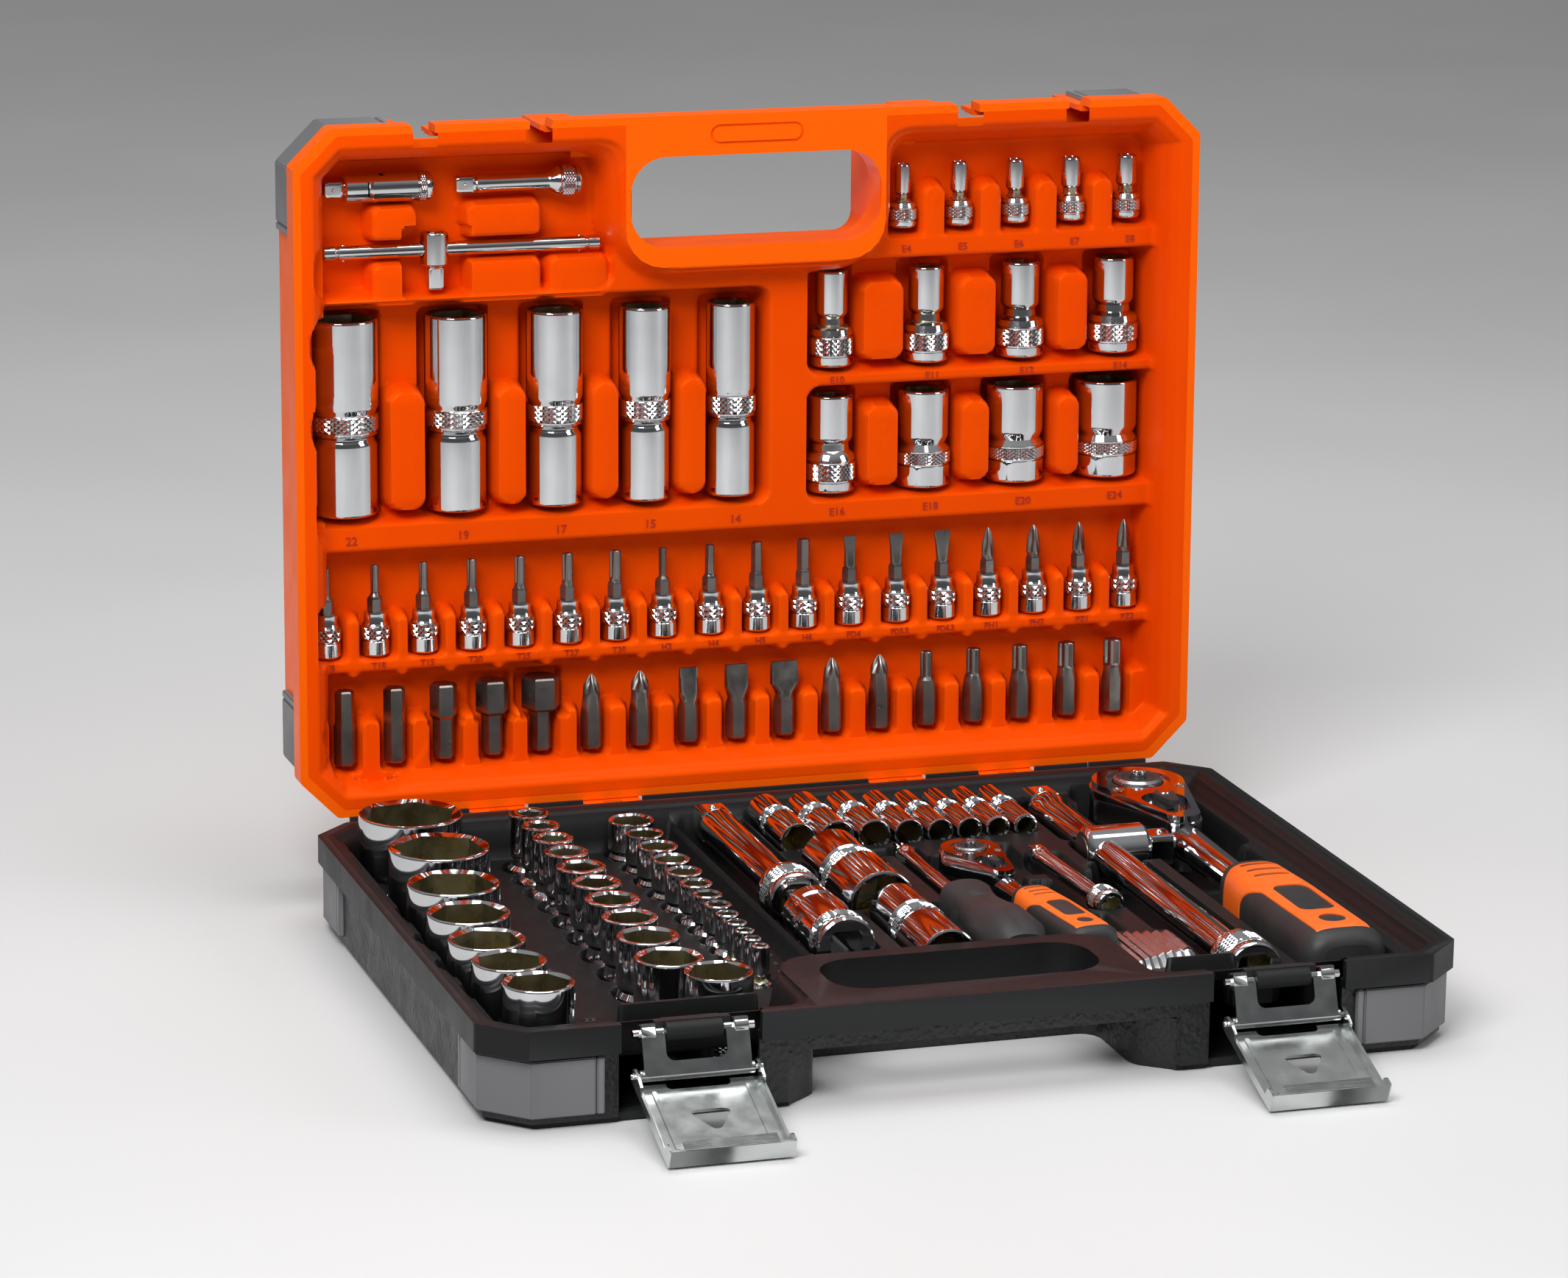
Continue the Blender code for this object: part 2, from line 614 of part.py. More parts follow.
def sliding_heads():
    """Tee heads that slide along their bars, each with its own square drive."""
    x, y, z = 112.6, 46.0, 30.5
    node("tee_head_half", "chrome",
         [rod(10.6, (104.8, y, z), (131.5, y, z), 14), rod(9.0, (131.0, y, z), (143.0, y, z), 4)],
         [rod(7.2, (x, y - 15.0, z), (x, y + 15.0, z), 12)])
    z = lid_deck(LID_TOOL_FRONT + 6.0)
    parent = "lid_hinge"
    bar_y = lid_y(228.2)
    node("tee_bar_quarter", "chrome", [rod(3.0, (-176.0, bar_y, z), (-61.0, bar_y, z), 12, parent=parent)])
    node("tee_head_quarter", "chrome",
         [rod(5.7, (-129.8, lid_y(236.0), z), (-129.8, lid_y(221.5), z), 12, parent=parent),
          rod(4.5, (-129.8, lid_y(222.0), z), (-129.8, lid_y(212.0), z), 4, parent=parent)],
         [rod(3.4, (-140.0, bar_y, z), (-120.0, bar_y, z), 12, parent=parent)])


def universal_joint(prefix, drive, tip, mouth, radius, parent=None):
    """Two forks on a cross: the first carries the square, the second the socket."""
    tip, mouth = Vector(tip), Vector(mouth)
    run = (mouth - tip).normalized()
    side = Vector((abs(run.y), abs(run.x), 0.0))
    up = Vector((0.0, 0.0, 1.0))
    total = (mouth - tip).length
    centre = tip + run * total * 0.47
    reach, thick, arm = radius * 1.15, radius * 0.32, radius * 0.42

    def ear(start, end, across, sign):
        inner, outer = across * sign * (radius - thick), across * sign * radius
        low = [min(a, b, c, d) for a, b, c, d in zip(start + inner, end + inner, start + outer, end + outer)]
        high = [max(a, b, c, d) for a, b, c, d in zip(start + inner, end + inner, start + outer, end + outer)]
        wide = side if abs(across.z) > 0.5 else up
        for i in range(3):
            low[i] -= abs(wide[i]) * arm * 1.15
            high[i] += abs(wide[i]) * arm * 1.15
        return block(low[0], high[0], low[1], high[1], low[2], high[2], parent=parent)

    half = drive / 2 * math.sqrt(2)
    hub_a, hub_b = centre - run * reach, centre + run * reach
    hub = radius * 0.28
    pin = radius * 0.22
    add = [rod(radius, hub_a - run * hub * 2.0, hub_a, 12, parent=parent),
           rod(half, tip, hub_a - run * hub, 4, parent=parent),
           ear(hub_a - run * 0.5, centre + run * arm * 1.1, side, 1),
           ear(hub_a - run * 0.5, centre + run * arm * 1.1, side, -1)]
    cut = [rod(pin + 0.3, centre - side * radius * 1.5, centre + side * radius * 1.5, 10, parent=parent)]
    node(prefix + "_drive_fork", "chrome", add, cut)
    add = [rod(radius, hub_b, mouth, 12, parent=parent),
           ear(centre - run * arm * 1.1, hub_b + run * 0.5, up, 1),
           ear(centre - run * arm * 1.1, hub_b + run * 0.5, up, -1)]
    cut = [rod(pin + 0.3, centre - up * radius * 1.5, centre + up * radius * 1.5, 10, parent=parent),
           rod(half * 1.03, mouth - run * drive * 0.9, mouth + run * 2.0, 4, parent=parent)]
    node(prefix + "_socket_fork", "chrome", add, cut)
    low, high = centre - Vector((arm, arm, arm)), centre + Vector((arm, arm, arm))
    node(prefix + "_cross", "steel",
         [block(low.x, high.x, low.y, high.y, low.z, high.z, parent=parent),
          rod(pin, centre - side * radius, centre + side * radius, 10, parent=parent),
          rod(pin, centre - up * radius, centre + up * radius, 10, parent=parent)])


def universal_joints():
    universal_joint("universal_joint_half", 12.7, (-28.0, 3.2, 32.5), (-28.0, -56.0, 32.5), 11.8)
    z = lid_deck(LID_TOOL_FRONT + 6.2)
    universal_joint("universal_joint_quarter", 6.35, (-175.0, lid_y(254.0), z),
                    (-131.0, lid_y(254.0), z), 6.0, "lid_hinge")


def spinner():
    """Spinner handle: moulded grip on a shank with a square tip, and a drive socket in its end."""
    x, z = 36.0, 30.0
    shank = [rod(3.4, (x, 66.0, z), (x, -60.0, z), 10), rod(4.5, (x, 72.5, z), (x, 65.0, z), 4)]
    node("spinner_shank", "chrome", shank)
    grip = [rod(10.5, (x, -5.0, z), (x, -22.0, z), 12, end_radius=9.4),
            rod(9.4, (x, -21.5, z), (x, -36.0, z), 12, end_radius=13.4),
            rod(13.4, (x, -35.5, z), (x, -70.0, z), 12),
            rod(13.4, (x, -69.5, z), (x, -76.0, z), 12, end_radius=8.5)]
    node("spinner_grip", "grip_black", grip, [rod(3.8, (x, 0.0, z), (x, -61.0, z), 10)])


def ratchet(prefix, scale, place, end, grip_back, top, drive, thickness):
    """Teardrop head with its drive below, cover side up: button, reversing switch, neck and grip."""
    x, y = place
    end_x, end_y = end
    r = 20.0 * scale
    bottom = top - thickness
    slope = (end_x - x) / (end_y - y)

    def on_axis(at):
        return x + slope * (at - y)

    tail = y - 50.0 * scale
    neck_z = top - thickness * 0.5
    grip_z = neck_z - 1.5 * scale
    chamber = 12.6 * scale
    switch = (on_axis(y - 30.0 * scale), y - 30.0 * scale)
    head = [hull([(x, y, r), (on_axis(tail), tail, 8.5 * scale)], bottom, top),
            rod(7.4 * scale, (on_axis(tail + 6.0), tail + 6.0, neck_z),
                (on_axis(grip_back + 4.0), grip_back + 4.0, neck_z), 10, end_radius=6.2 * scale),
            rod(4.6 * scale, (on_axis(grip_back + 6.0), grip_back + 6.0, neck_z),
                (on_axis(end_y + 12.0 * scale), end_y + 12.0 * scale, neck_z), 10)]
    cuts = [rod(chamber, (x, y, bottom - 1.0), (x, y, top - 4.5 * scale), 16),
            rod(10.6 * scale, (x, y, top - 5.0), (x, y, top + 1.0), 16),
            rod(9.0 * scale, (*switch, top - 4.0 * scale), (*switch, top + 1.0), 12)]
    node(prefix + "_body", "chrome", head, cuts)
    half = drive / 2 * math.sqrt(2)
    disc = [rod(chamber - 0.4, (x, y, bottom + 0.2), (x, y, top - 5.2 * scale), 16),
            rod(10.2 * scale, (x, y, top - 6.0 * scale), (x, y, top + 1.4 * scale), 16),
            rod(half, (x, y, bottom - drive * 0.92), (x, y, bottom + 1.0), 4)]
    button_r = 3.2 * scale
    bore_low = top - 11.0 * scale
    node(prefix + "_drive", "steel", disc,
         [rod(button_r + 0.35, (x, y, bore_low), (x, y, top + 10.0), 12)])
    node(prefix + "_button", "chrome",
         [rod(button_r, (x, y, bore_low + 4.2 * scale), (x, y, top + 4.4 * scale), 12)])
    arm = switch[1] - 12.0 * scale
    node(prefix + "_switch", "grip_black",
         [rod(4.4 * scale, (*switch, top - 3.7 * scale), (*switch, top + 1.6 * scale), 12),
          block(switch[0] - 2.2 * scale, switch[0] + 2.2 * scale, arm, switch[1],
                top + 0.4, top + 1.6 * scale + 0.2)])
    bm = bmesh.new()
    bmesh.ops.create_cube(bm, size=1.0)
    length = grip_back - end_y
    for vert in bm.verts:
        wide = 34.0 * scale if vert.co.y < 0 else 28.0 * scale
        vert.co = Vector((vert.co.x * wide, vert.co.y * length, vert.co.z * 29.0 * scale))
    bmesh.ops.bevel(bm, geom=list(bm.edges), offset=7.0 * scale, segments=2, affect="EDGES", profile=0.5)
    middle = Vector(((on_axis(grip_back) + end_x) / 2, (grip_back + end_y) / 2, grip_z))
    bmesh.ops.rotate(bm, verts=bm.verts, matrix=Matrix.Rotation(-math.atan(slope), 3, "Z"))
    bmesh.ops.translate(bm, verts=bm.verts, vec=middle)
    tang = rod(4.6 * scale + 0.4, (on_axis(grip_back + 8.0), grip_back + 8.0, neck_z),
               (on_axis(end_y + 12.0 * scale - 0.5), end_y + 12.0 * scale - 0.5, neck_z), 10)
    node(prefix + "_grip", "grip_orange", [as_object(bm)], [tang])


def ratchets():
    ratchet("ratchet_half", 1.0, (152.0, 108.0), (152.0, -117.0), -12.0, 41.0, 12.7, 23.0)
    ratchet("ratchet_quarter", 0.62, (55.5, 42.0), (65.5, -76.0), -12.0, 38.0, 6.35, 14.5)


def build():
    clear_scene()
    make_materials()
    empty("lid_hinge", (0.0, HINGE_Y, HINGE_Z), -OPEN_ANGLE)
    base_shell()
    lid_shell()
    hinge_pins()
    latch("left", -1)
    latch("right", 1)
    base_tray()
    lid_tray()
    large_sockets()
    deep_sockets()
    plug_sockets()
    extensions()
    sliding_heads()
    universal_joints()
    spinner()
    ratchets()


build()
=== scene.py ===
"""Looks of the socket wrench set: moulded case halves, chrome tools, latches, floor, light and camera.

Two frames are used, both in millimetres. The base's is the row frame itself. The lid's is (x, v, h):
x to the right, v up the open lid from its lower edge, and h out of the lid, with 0 at its rim plane.
"""
import json
import math

import bmesh
import bpy
import numpy as np
from mathutils import Matrix, Vector


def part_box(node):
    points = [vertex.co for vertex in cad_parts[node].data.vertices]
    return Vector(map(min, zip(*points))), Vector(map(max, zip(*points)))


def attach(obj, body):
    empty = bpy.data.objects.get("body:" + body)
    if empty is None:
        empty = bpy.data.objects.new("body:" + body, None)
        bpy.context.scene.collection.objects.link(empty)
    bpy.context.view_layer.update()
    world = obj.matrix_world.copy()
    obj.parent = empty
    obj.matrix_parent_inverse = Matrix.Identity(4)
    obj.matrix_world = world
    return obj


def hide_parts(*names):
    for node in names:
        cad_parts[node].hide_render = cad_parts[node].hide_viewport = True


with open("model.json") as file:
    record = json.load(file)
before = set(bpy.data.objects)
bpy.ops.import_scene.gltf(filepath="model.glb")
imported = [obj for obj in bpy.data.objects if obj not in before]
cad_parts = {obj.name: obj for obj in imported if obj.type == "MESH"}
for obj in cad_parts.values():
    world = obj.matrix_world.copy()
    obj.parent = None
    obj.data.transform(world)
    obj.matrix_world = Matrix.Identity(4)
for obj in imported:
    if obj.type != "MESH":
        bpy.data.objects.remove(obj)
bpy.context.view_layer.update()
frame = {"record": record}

MM = 0.001

# Case, repeated from the design.
WIDTH = 383.0
DEPTH = 281.0
HALF_W = WIDTH / 2
HALF_D = DEPTH / 2
CORNER = 15.5
BASE_HEIGHT = 38.3
LID_HEIGHT = 44.0
RIM_GAP = 0.6
FLANGE = 11.0
WALL_INSET = 3.5
STRIP = 3.2
LATCH_X = 114.2
LATCH_HALF = 26.5
SLOT_HALF = 53.0
SLOT_FRONT = 124.0
SLOT_BACK = 87.0
GRIP_DEPTH = 17.0
BASE_ZONE = 66.0
LID_ZONE = 55.0

# Tray levels.
LOW_DECK = 21.5
HIGH_DECK = 31.0
DECK_SPLIT = -44.0
LID_SPLIT = 17.5
LID_DECK = -12.2
TOOL_FRONT = -12.2

# Grid step of the tray skins, how far they lie under the rim strip, and their half width.
CELL = 1.0
BURIED = 0.7
SKIN_HALF = 190.5

HINGE = next(j for j in frame["record"]["behaviour"]["joints"] if j["name"] == "lid_hinge")
HINGE_POS = Vector(HINGE["pos_m"])
OPEN_ANGLE = math.radians(HINGE["range_deg"][0])

BASE = Matrix.Scale(MM, 4)
LID = (Matrix.Translation(HINGE_POS) @ Matrix.Rotation(OPEN_ANGLE, 4, "X")
       @ Matrix.Translation(-HINGE_POS)
       @ Matrix.Translation((0.0, HALF_D * MM, (BASE_HEIGHT + RIM_GAP) * MM))
       @ Matrix.Diagonal((MM, -MM, -MM, 1.0)))


ALONG_V = (0.0, 1.0, 0.0)
ACROSS = (1.0, 0.0, 0.0)
QUARTER_X = Matrix.Rotation(math.pi / 2, 4, "X")
QUARTER_Y = Matrix.Rotation(math.pi / 2, 4, "Y")

# Widths of the half-inch and quarter-inch driving squares.
HALF_DRIVE = 12.7
QUARTER_DRIVE = 6.35


# ---------------------------------------------------------------- materials

class Nodes:
    """A short way to write a material's node tree."""

    def __init__(self, name):
        self.material = bpy.data.materials.new(name)
        self.material.use_nodes = True
        self.tree = self.material.node_tree
        self.shader = self.tree.nodes["Principled BSDF"]
        self.place = self.tree.nodes.new("ShaderNodeTexCoord").outputs["Object"]

    def add(self, kind, inputs=None, **values):
        made = self.tree.nodes.new(kind)
        for key, value in values.items():
            setattr(made, key, value)
        for key, value in (inputs or {}).items():
            if isinstance(value, bpy.types.NodeSocket):
                self.tree.links.new(value, made.inputs[key])
            else:
                made.inputs[key].default_value = value
        return made

    def noise(self, scale, detail=3.0, roughness=0.55, stretch=None):
        vector = self.place
        if stretch:
            vector = self.add("ShaderNodeMapping", {"Vector": vector, "Scale": stretch}).outputs["Vector"]
        return self.add("ShaderNodeTexNoise", {"Vector": vector, "Scale": scale, "Detail": detail,
                                               "Roughness": roughness}).outputs["Fac"]

    def ramp(self, factor, stops):
        made = self.add("ShaderNodeValToRGB", {"Fac": factor})
        points = made.color_ramp.elements
        points[0].position, points[0].color = stops[0][0], (*stops[0][1], 1.0)
        points[1].position, points[1].color = stops[-1][0], (*stops[-1][1], 1.0)
        for position, colour in stops[1:-1]:
            points.new(position).color = (*colour, 1.0)
        return made.outputs["Color"]

    def spread(self, factor, low, high):
        return self.add("ShaderNodeMapRange", {"Value": factor, "From Min": 0.3, "From Max": 0.7,
                                               "To Min": low, "To Max": high}).outputs["Result"]

    def set(self, **values):
        for key, value in values.items():
            target = self.shader.inputs[key.replace("_", " ")]
            if isinstance(value, bpy.types.NodeSocket):
                self.tree.links.new(value, target)
            else:
                target.default_value = value

    def bump(self, height, strength, distance):
        made = self.add("ShaderNodeBump", {"Height": height, "Strength": strength, "Distance": distance})
        self.tree.links.new(made.outputs["Normal"], self.shader.inputs["Normal"])


def edge_tint(nodes, colour, worn, low, high):
    point = nodes.add("ShaderNodeNewGeometry").outputs["Pointiness"]
    factor = nodes.add("ShaderNodeMapRange", {"Value": point, "From Min": low, "From Max": high})
    mix = nodes.add("ShaderNodeMix", data_type="RGBA")
    nodes.tree.links.new(factor.outputs["Result"], mix.inputs[0])
    nodes.tree.links.new(colour, mix.inputs[6])
    mix.inputs[7].default_value = (*worn, 1.0)
    return mix.outputs[2]


def moulded(name, dark, light, worn, roughness, grain, depth, shine=0.2, tint=(1.0, 1.0, 1.0, 1.0)):
    """Blow-moulded plastic: slow colour drift, fine stipple, paler edges."""
    n = Nodes(name)
    colour = n.ramp(n.noise(9.0, 4.0), [(0.3, dark), (0.7, light)])
    n.set(Base_Color=edge_tint(n, colour, worn, 0.53, 0.64))
    n.set(Roughness=n.spread(n.noise(60.0), roughness - 0.06, roughness + 0.06))
    n.set(Specular_IOR_Level=shine, Specular_Tint=tint)
    n.bump(n.noise(grain, 3.0, 0.65), 0.55, depth)
    return n.material


def leathery(name):
    """The coarse grained panels on the outside of the black base."""
    n = Nodes(name)
    n.set(Base_Color=n.ramp(n.noise(12.0), [(0.3, (0.006, 0.0065, 0.007)), (0.7, (0.012, 0.0125, 0.013))]))
    cells = n.add("ShaderNodeTexVoronoi", {"Vector": n.place, "Scale": 520.0, "Randomness": 1.0},
                  feature="SMOOTH_F1")
    mix = n.add("ShaderNodeMath", {0: cells.outputs["Distance"], 1: n.noise(380.0, 4.0)},
                operation="MULTIPLY")
    n.set(Roughness=n.spread(n.noise(90.0), 0.34, 0.5))
    n.bump(mix.outputs[0], 0.9, 0.0011)
    return n.material


def metal(name, colour, shade, roughness, scratch=None, grain=0.00001):
    """Plated or bare metal with a breath of smudging; scratch stretches the grain along an axis."""
    n = Nodes(name)
    n.set(Metallic=1.0)
    n.set(Base_Color=n.ramp(n.noise(45.0, 3.0), [(0.35, shade), (0.65, colour)]))
    n.set(Roughness=n.spread(n.noise(120.0, 4.0), roughness * 0.75, roughness * 1.35))
    n.bump(n.noise(900.0, 2.0, 0.5, scratch), 0.25, grain)
    return n.material


def rubber(name, dark, light, roughness):
    n = Nodes(name)
    n.set(Base_Color=n.ramp(n.noise(30.0), [(0.3, dark), (0.7, light)]))
    n.set(Roughness=n.spread(n.noise(80.0), roughness - 0.07, roughness + 0.07))
    n.bump(n.noise(1500.0, 2.0, 0.7), 0.5, 0.00012)
    return n.material


def make_materials():
    along_z, across_x = (1.0, 1.0, 0.1), (0.05, 1.0, 1.0)
    return {
        "orange": moulded("orange_plastic", (0.84, 0.062, 0.0003), (0.90, 0.078, 0.0005),
                          (0.97, 0.12, 0.002), 0.36, 1500.0, 0.00012, 0.3, (1.0, 0.30, 0.05, 1.0)),
        "black": moulded("black_plastic", (0.007, 0.0072, 0.0075), (0.0095, 0.0098, 0.0102),
                         (0.022, 0.023, 0.024), 0.44, 1700.0, 0.0002),
        "leather": leathery("black_grained_plastic"),
        "guard": moulded("grey_corner_plastic", (0.085, 0.088, 0.092), (0.12, 0.123, 0.128),
                         (0.2, 0.2, 0.21), 0.42, 1200.0, 0.0001),
        "chrome": metal("chrome_plate", (0.64, 0.645, 0.655), (0.57, 0.575, 0.59), 0.07, grain=0.000004),
        "satin": metal("satin_chrome", (0.6, 0.6, 0.61), (0.53, 0.53, 0.545), 0.22, grain=0.000006),
        "inside": metal("socket_inside", (0.56, 0.52, 0.36), (0.40, 0.37, 0.25), 0.28, along_z, 0.00003),
        "zinc": metal("zinc_plate", (0.60, 0.62, 0.615), (0.55, 0.57, 0.565), 0.2, across_x, 0.000008),
        "bit": metal("bit_steel", (0.30, 0.285, 0.265), (0.2, 0.19, 0.18), 0.32, along_z, 0.00004),
        "grip_orange": rubber("grip_orange", (0.87, 0.13, 0.01), (0.95, 0.17, 0.015), 0.42),
        "grip_black": rubber("grip_black", (0.016, 0.016, 0.017), (0.03, 0.029, 0.029), 0.55),
        # The lid's raised numbers are moulded in the tray's own orange; this darker orange is painted shade,
        # standing in for the shading on the raised digits.
        "number_orange_painted_shade": rubber("number_orange_painted_shade", (0.40, 0.018, 0.0005), (0.46, 0.024, 0.0007), 0.5),
        "number_black": rubber("number_black", (0.05, 0.05, 0.052), (0.07, 0.07, 0.072), 0.45),
    }


PAINT = make_materials()


# ---------------------------------------------------------------- mesh tools

def piece(name, bm, finishes, place, body, replaces=(), smooth=38.0):
    """A finished object from a bmesh drawn in millimetres in one of the two frames."""
    bm.normal_update()
    limit = math.radians(smooth)
    for face in bm.faces:
        face.smooth = len(face.verts) <= 4
    for edge in bm.edges:
        edge.smooth = len(edge.link_faces) == 2 and edge.calc_face_angle(0.0) < limit
    mesh = bpy.data.meshes.new(name)
    bm.to_mesh(mesh)
    bm.free()
    mesh.transform(place)
    for finish in finishes:
        mesh.materials.append(PAINT[finish])
    item = bpy.data.objects.new(name, mesh)
    bpy.context.scene.collection.objects.link(item)
    if smooth < 50.0:
        even = item.modifiers.new("even", "WEIGHTED_NORMAL")
        even.keep_sharp = True
        even.weight = 90
    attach(item, body)
    if replaces:
        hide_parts(*replaces)
    return item


def loft(stations, steps=36, closed=False):
    """Rings joined end to end. A station is (z, kind, size), or (z, size) for a round one, and may
    end with its material slot."""
    return add_loft(bmesh.new(), stations, steps, closed)


KNURL_SWING = 1.6


def ring_points(kind, size, steps):
    """Points of one ring: round, hex, square, star, cross, blade, or one of the knurl's two rows."""
    angle = np.arange(steps) * 2.0 * math.pi / steps
    if kind == "hex":
        radius = size / 2 / np.cos((angle % (math.pi / 3)) - math.pi / 6)
    elif kind == "square":
        radius = size / 2 / np.cos(((angle + math.pi / 4) % (math.pi / 2)) - math.pi / 4)
        radius = np.minimum(radius, size * 0.66)
    elif kind == "star":
        radius = size * (1.0 + 0.085 * np.cos(6 * angle))
    elif kind == "torx":
        radius = size * (0.9 + 0.13 * np.cos(6 * angle))
    elif kind == "cross":
        radius = size * (0.48 + 0.52 * np.abs(np.cos(2 * angle)) ** 2.5)
    elif kind in ("knurl_a", "knurl_b"):
        swing = size * KNURL_SWING / steps * np.where(np.arange(steps) % 2 == 0, 1.0, -1.0)
        radius = size + swing if kind == "knurl_a" else size - swing
    else:
        radius = np.full(steps, size)
    return radius * np.cos(angle), radius * np.sin(angle)


def add_loft(bm, stations, steps=36, closed=False, move=Matrix.Identity(4)):
    stations = [s if isinstance(s[1], str) else (s[0], "round", *s[1:]) for s in stations]
    rings = []
    for station in stations:
        xs, ys = ring_points(station[1], station[2], steps)
        if station[1] == "blade":
            ys = np.clip(ys, -station[4], station[4])
        rings.append([bm.verts.new(move @ Vector((x, y, station[0]))) for x, y in zip(xs, ys)])
    count = len(rings)
    for i in range(count if closed else count - 1):
        low, high = rings[i], rings[(i + 1) % count]
        slot = stations[(i + 1) % count][3] if len(stations[(i + 1) % count]) > 3 else 0
        kinds = stations[i][1], stations[(i + 1) % count][1]
        knurled = all(kind.startswith("knurl") for kind in kinds)
        for k in range(steps):
            following = (k + 1) % steps
            a, b, c, d = low[k], low[following], high[following], high[k]
            corners = [(a, b, c, d)]
            if knurled:
                raised = (k % 2 == 0) == (kinds[0] == "knurl_a")
                corners = [(a, b, c), (a, c, d)] if raised else [(b, c, d), (b, d, a)]
            for corner in corners:
                bm.faces.new(corner).material_index = slot
    if not closed:
        bm.faces.new(list(reversed(rings[0])))
        bm.faces.new(rings[-1]).material_index = stations[-1][3] if len(stations[-1]) > 3 else 0
    return bm


def rod(stations, steps, at=(0.0, 0.0, 0.0)):
    """A loft lying along X through a point."""
    bm = loft(stations, steps)
    bm.transform(Matrix.Translation(at) @ QUARTER_Y)
    return bm


def eased(half, radius, ease=0.4, inset=0.4):
    """Stations of a round bar of half length about z 0 with its two ends eased."""
    return [(-half, radius - ease), (inset - half, radius), (half - inset, radius), (half, radius - ease)]


def join_rings(bm, rings):
    """Faces between rings of vertices, with both ends closed."""
    count = len(rings[0])
    for low, high in zip(rings[:-1], rings[1:]):
        for i in range(count):
            bm.faces.new((low[i], low[(i + 1) % count], high[(i + 1) % count], high[i]))
    bm.faces.new(rings[0][::-1])
    bm.faces.new(rings[-1])
    return bm


def aim(origin, direction, up=(0.0, 0.0, 1.0)):
    """A matrix whose Z runs along direction from origin."""
    z = Vector(direction).normalized()
    up = Vector(up)
    if abs(z.dot(up)) > 0.98:
        up = Vector((0.0, 1.0, 0.0))
    x = up.cross(z).normalized()
    y = z.cross(x)
    matrix = Matrix((x, y, z)).transposed().to_4x4()
    matrix.translation = Vector(origin)
    return matrix


def arc_corner(points, radii, segments=5):
    """An outline with each corner rounded to its own radius."""
    out = []
    count = len(points)
    for i, (x, y) in enumerate(points):
        here = Vector((x, y))
        radius = radii[i] if isinstance(radii, (list, tuple)) else radii
        before = (Vector(points[i - 1]) - here).normalized()
        after = (Vector(points[(i + 1) % count]) - here).normalized()
        half = before.angle(after) / 2
        if radius <= 0.0:
            out.append((here.x, here.y))
            continue
        reach = radius / math.tan(half)
        start, end = here + before * reach, here + after * reach
        centre = here + (before + after).normalized() * (radius / math.sin(half))
        first = math.atan2(start.y - centre.y, start.x - centre.x)
        swing = math.atan2(end.y - centre.y, end.x - centre.x) - first
        swing = (swing + math.pi) % (2 * math.pi) - math.pi
        for k in range(segments + 1):
            angle = first + swing * k / segments
            out.append((centre.x + radius * math.cos(angle), centre.y + radius * math.sin(angle)))
    return out


def prism(outline, z0, z1, move=Matrix.Identity(4)):
    """A closed solid over an outline between two heights."""
    bm = bmesh.new()
    low = [bm.verts.new(move @ Vector((x, y, z0))) for x, y in outline]
    high = [bm.verts.new(move @ Vector((x, y, z1))) for x, y in outline]
    count = len(outline)
    bm.faces.new(list(reversed(low)))
    bm.faces.new(high)
    for i in range(count):
        j = (i + 1) % count
        bm.faces.new((low[i], low[j], high[j], high[i]))
    bmesh.ops.recalc_face_normals(bm, faces=bm.faces)
    return bm


def rectangle(x0, x1, y0, y1, radius=0.0, segments=5):
    corners = [(x0, y0), (x1, y0), (x1, y1), (x0, y1)]
    return arc_corner(corners, radius, segments) if radius else corners


def solid(bm):
    """A bmesh as a loose object, for Booleans."""
    if isinstance(bm, bpy.types.Object):
        return bm
    mesh = bpy.data.meshes.new("work")
    bm.to_mesh(mesh)
    bm.free()
    item = bpy.data.objects.new("work", mesh)
    bpy.context.scene.collection.objects.link(item)
    return item


def carve(first, joins, cuts, bevel=0.6):
    """Union the joins, cut the cuts, round the sharp edges, and return one bmesh."""
    item = solid(first)
    for operation, shapes in (("UNION", joins), ("DIFFERENCE", cuts)):
        for shape in shapes:
            other = solid(shape)
            change = item.modifiers.new("change", "BOOLEAN")
            change.operation = operation
            change.solver = "EXACT"
            change.object = other
    if bevel:
        flat = item.modifiers.new("flat", "DECIMATE")
        flat.decimate_type = "DISSOLVE"
        flat.angle_limit = math.radians(0.5)
        edge = item.modifiers.new("edge", "BEVEL")
        edge.width = bevel
        edge.segments = 3
        edge.limit_method = "ANGLE"
        edge.angle_limit = math.radians(40.0)
        edge.use_clamp_overlap = True
        edge.harden_normals = False
    bpy.context.view_layer.update()
    shown = item.evaluated_get(bpy.context.evaluated_depsgraph_get())
    bm = bmesh.new()
    bm.from_mesh(shown.to_mesh())
    shown.to_mesh_clear()
    helpers = [m.object for m in item.modifiers if m.type == "BOOLEAN"]
    for helper in helpers + [item]:
        bpy.data.objects.remove(helper, do_unlink=True)
    return bm


def node_piece(name, bm, finishes, place, smooth=34.0, body=None):
    """A piece that stands in for the node of its own name."""
    return piece(name, bm, finishes, place, body or name, [name], smooth)


def merged(parts):
    """Several bmeshes as one."""
    whole = bmesh.new()
    for part in parts:
        mesh = bpy.data.meshes.new("work")
        part.to_mesh(mesh)
        part.free()
        whole.from_mesh(mesh)
        bpy.data.meshes.remove(mesh)
    return whole


# ---------------------------------------------------------------- case halves

def case_outline(inset, radius=3.0):
    w, d = HALF_W - inset, HALF_D - inset
    c = CORNER - inset * 0.2
    corners = [(-w + c, -d), (w - c, -d), (w, -d + c), (w, d - c), (w - c, d), (-w + c, d), (-w, d - c),
               (-w, -d + c)]
    return arc_corner(corners, radius, 4)


def flip(outline, side):
    """The handle is at -Y in the base and at +V in the lid."""
    return outline if side < 0 else [(x, -y) for x, y in reversed(outline)]


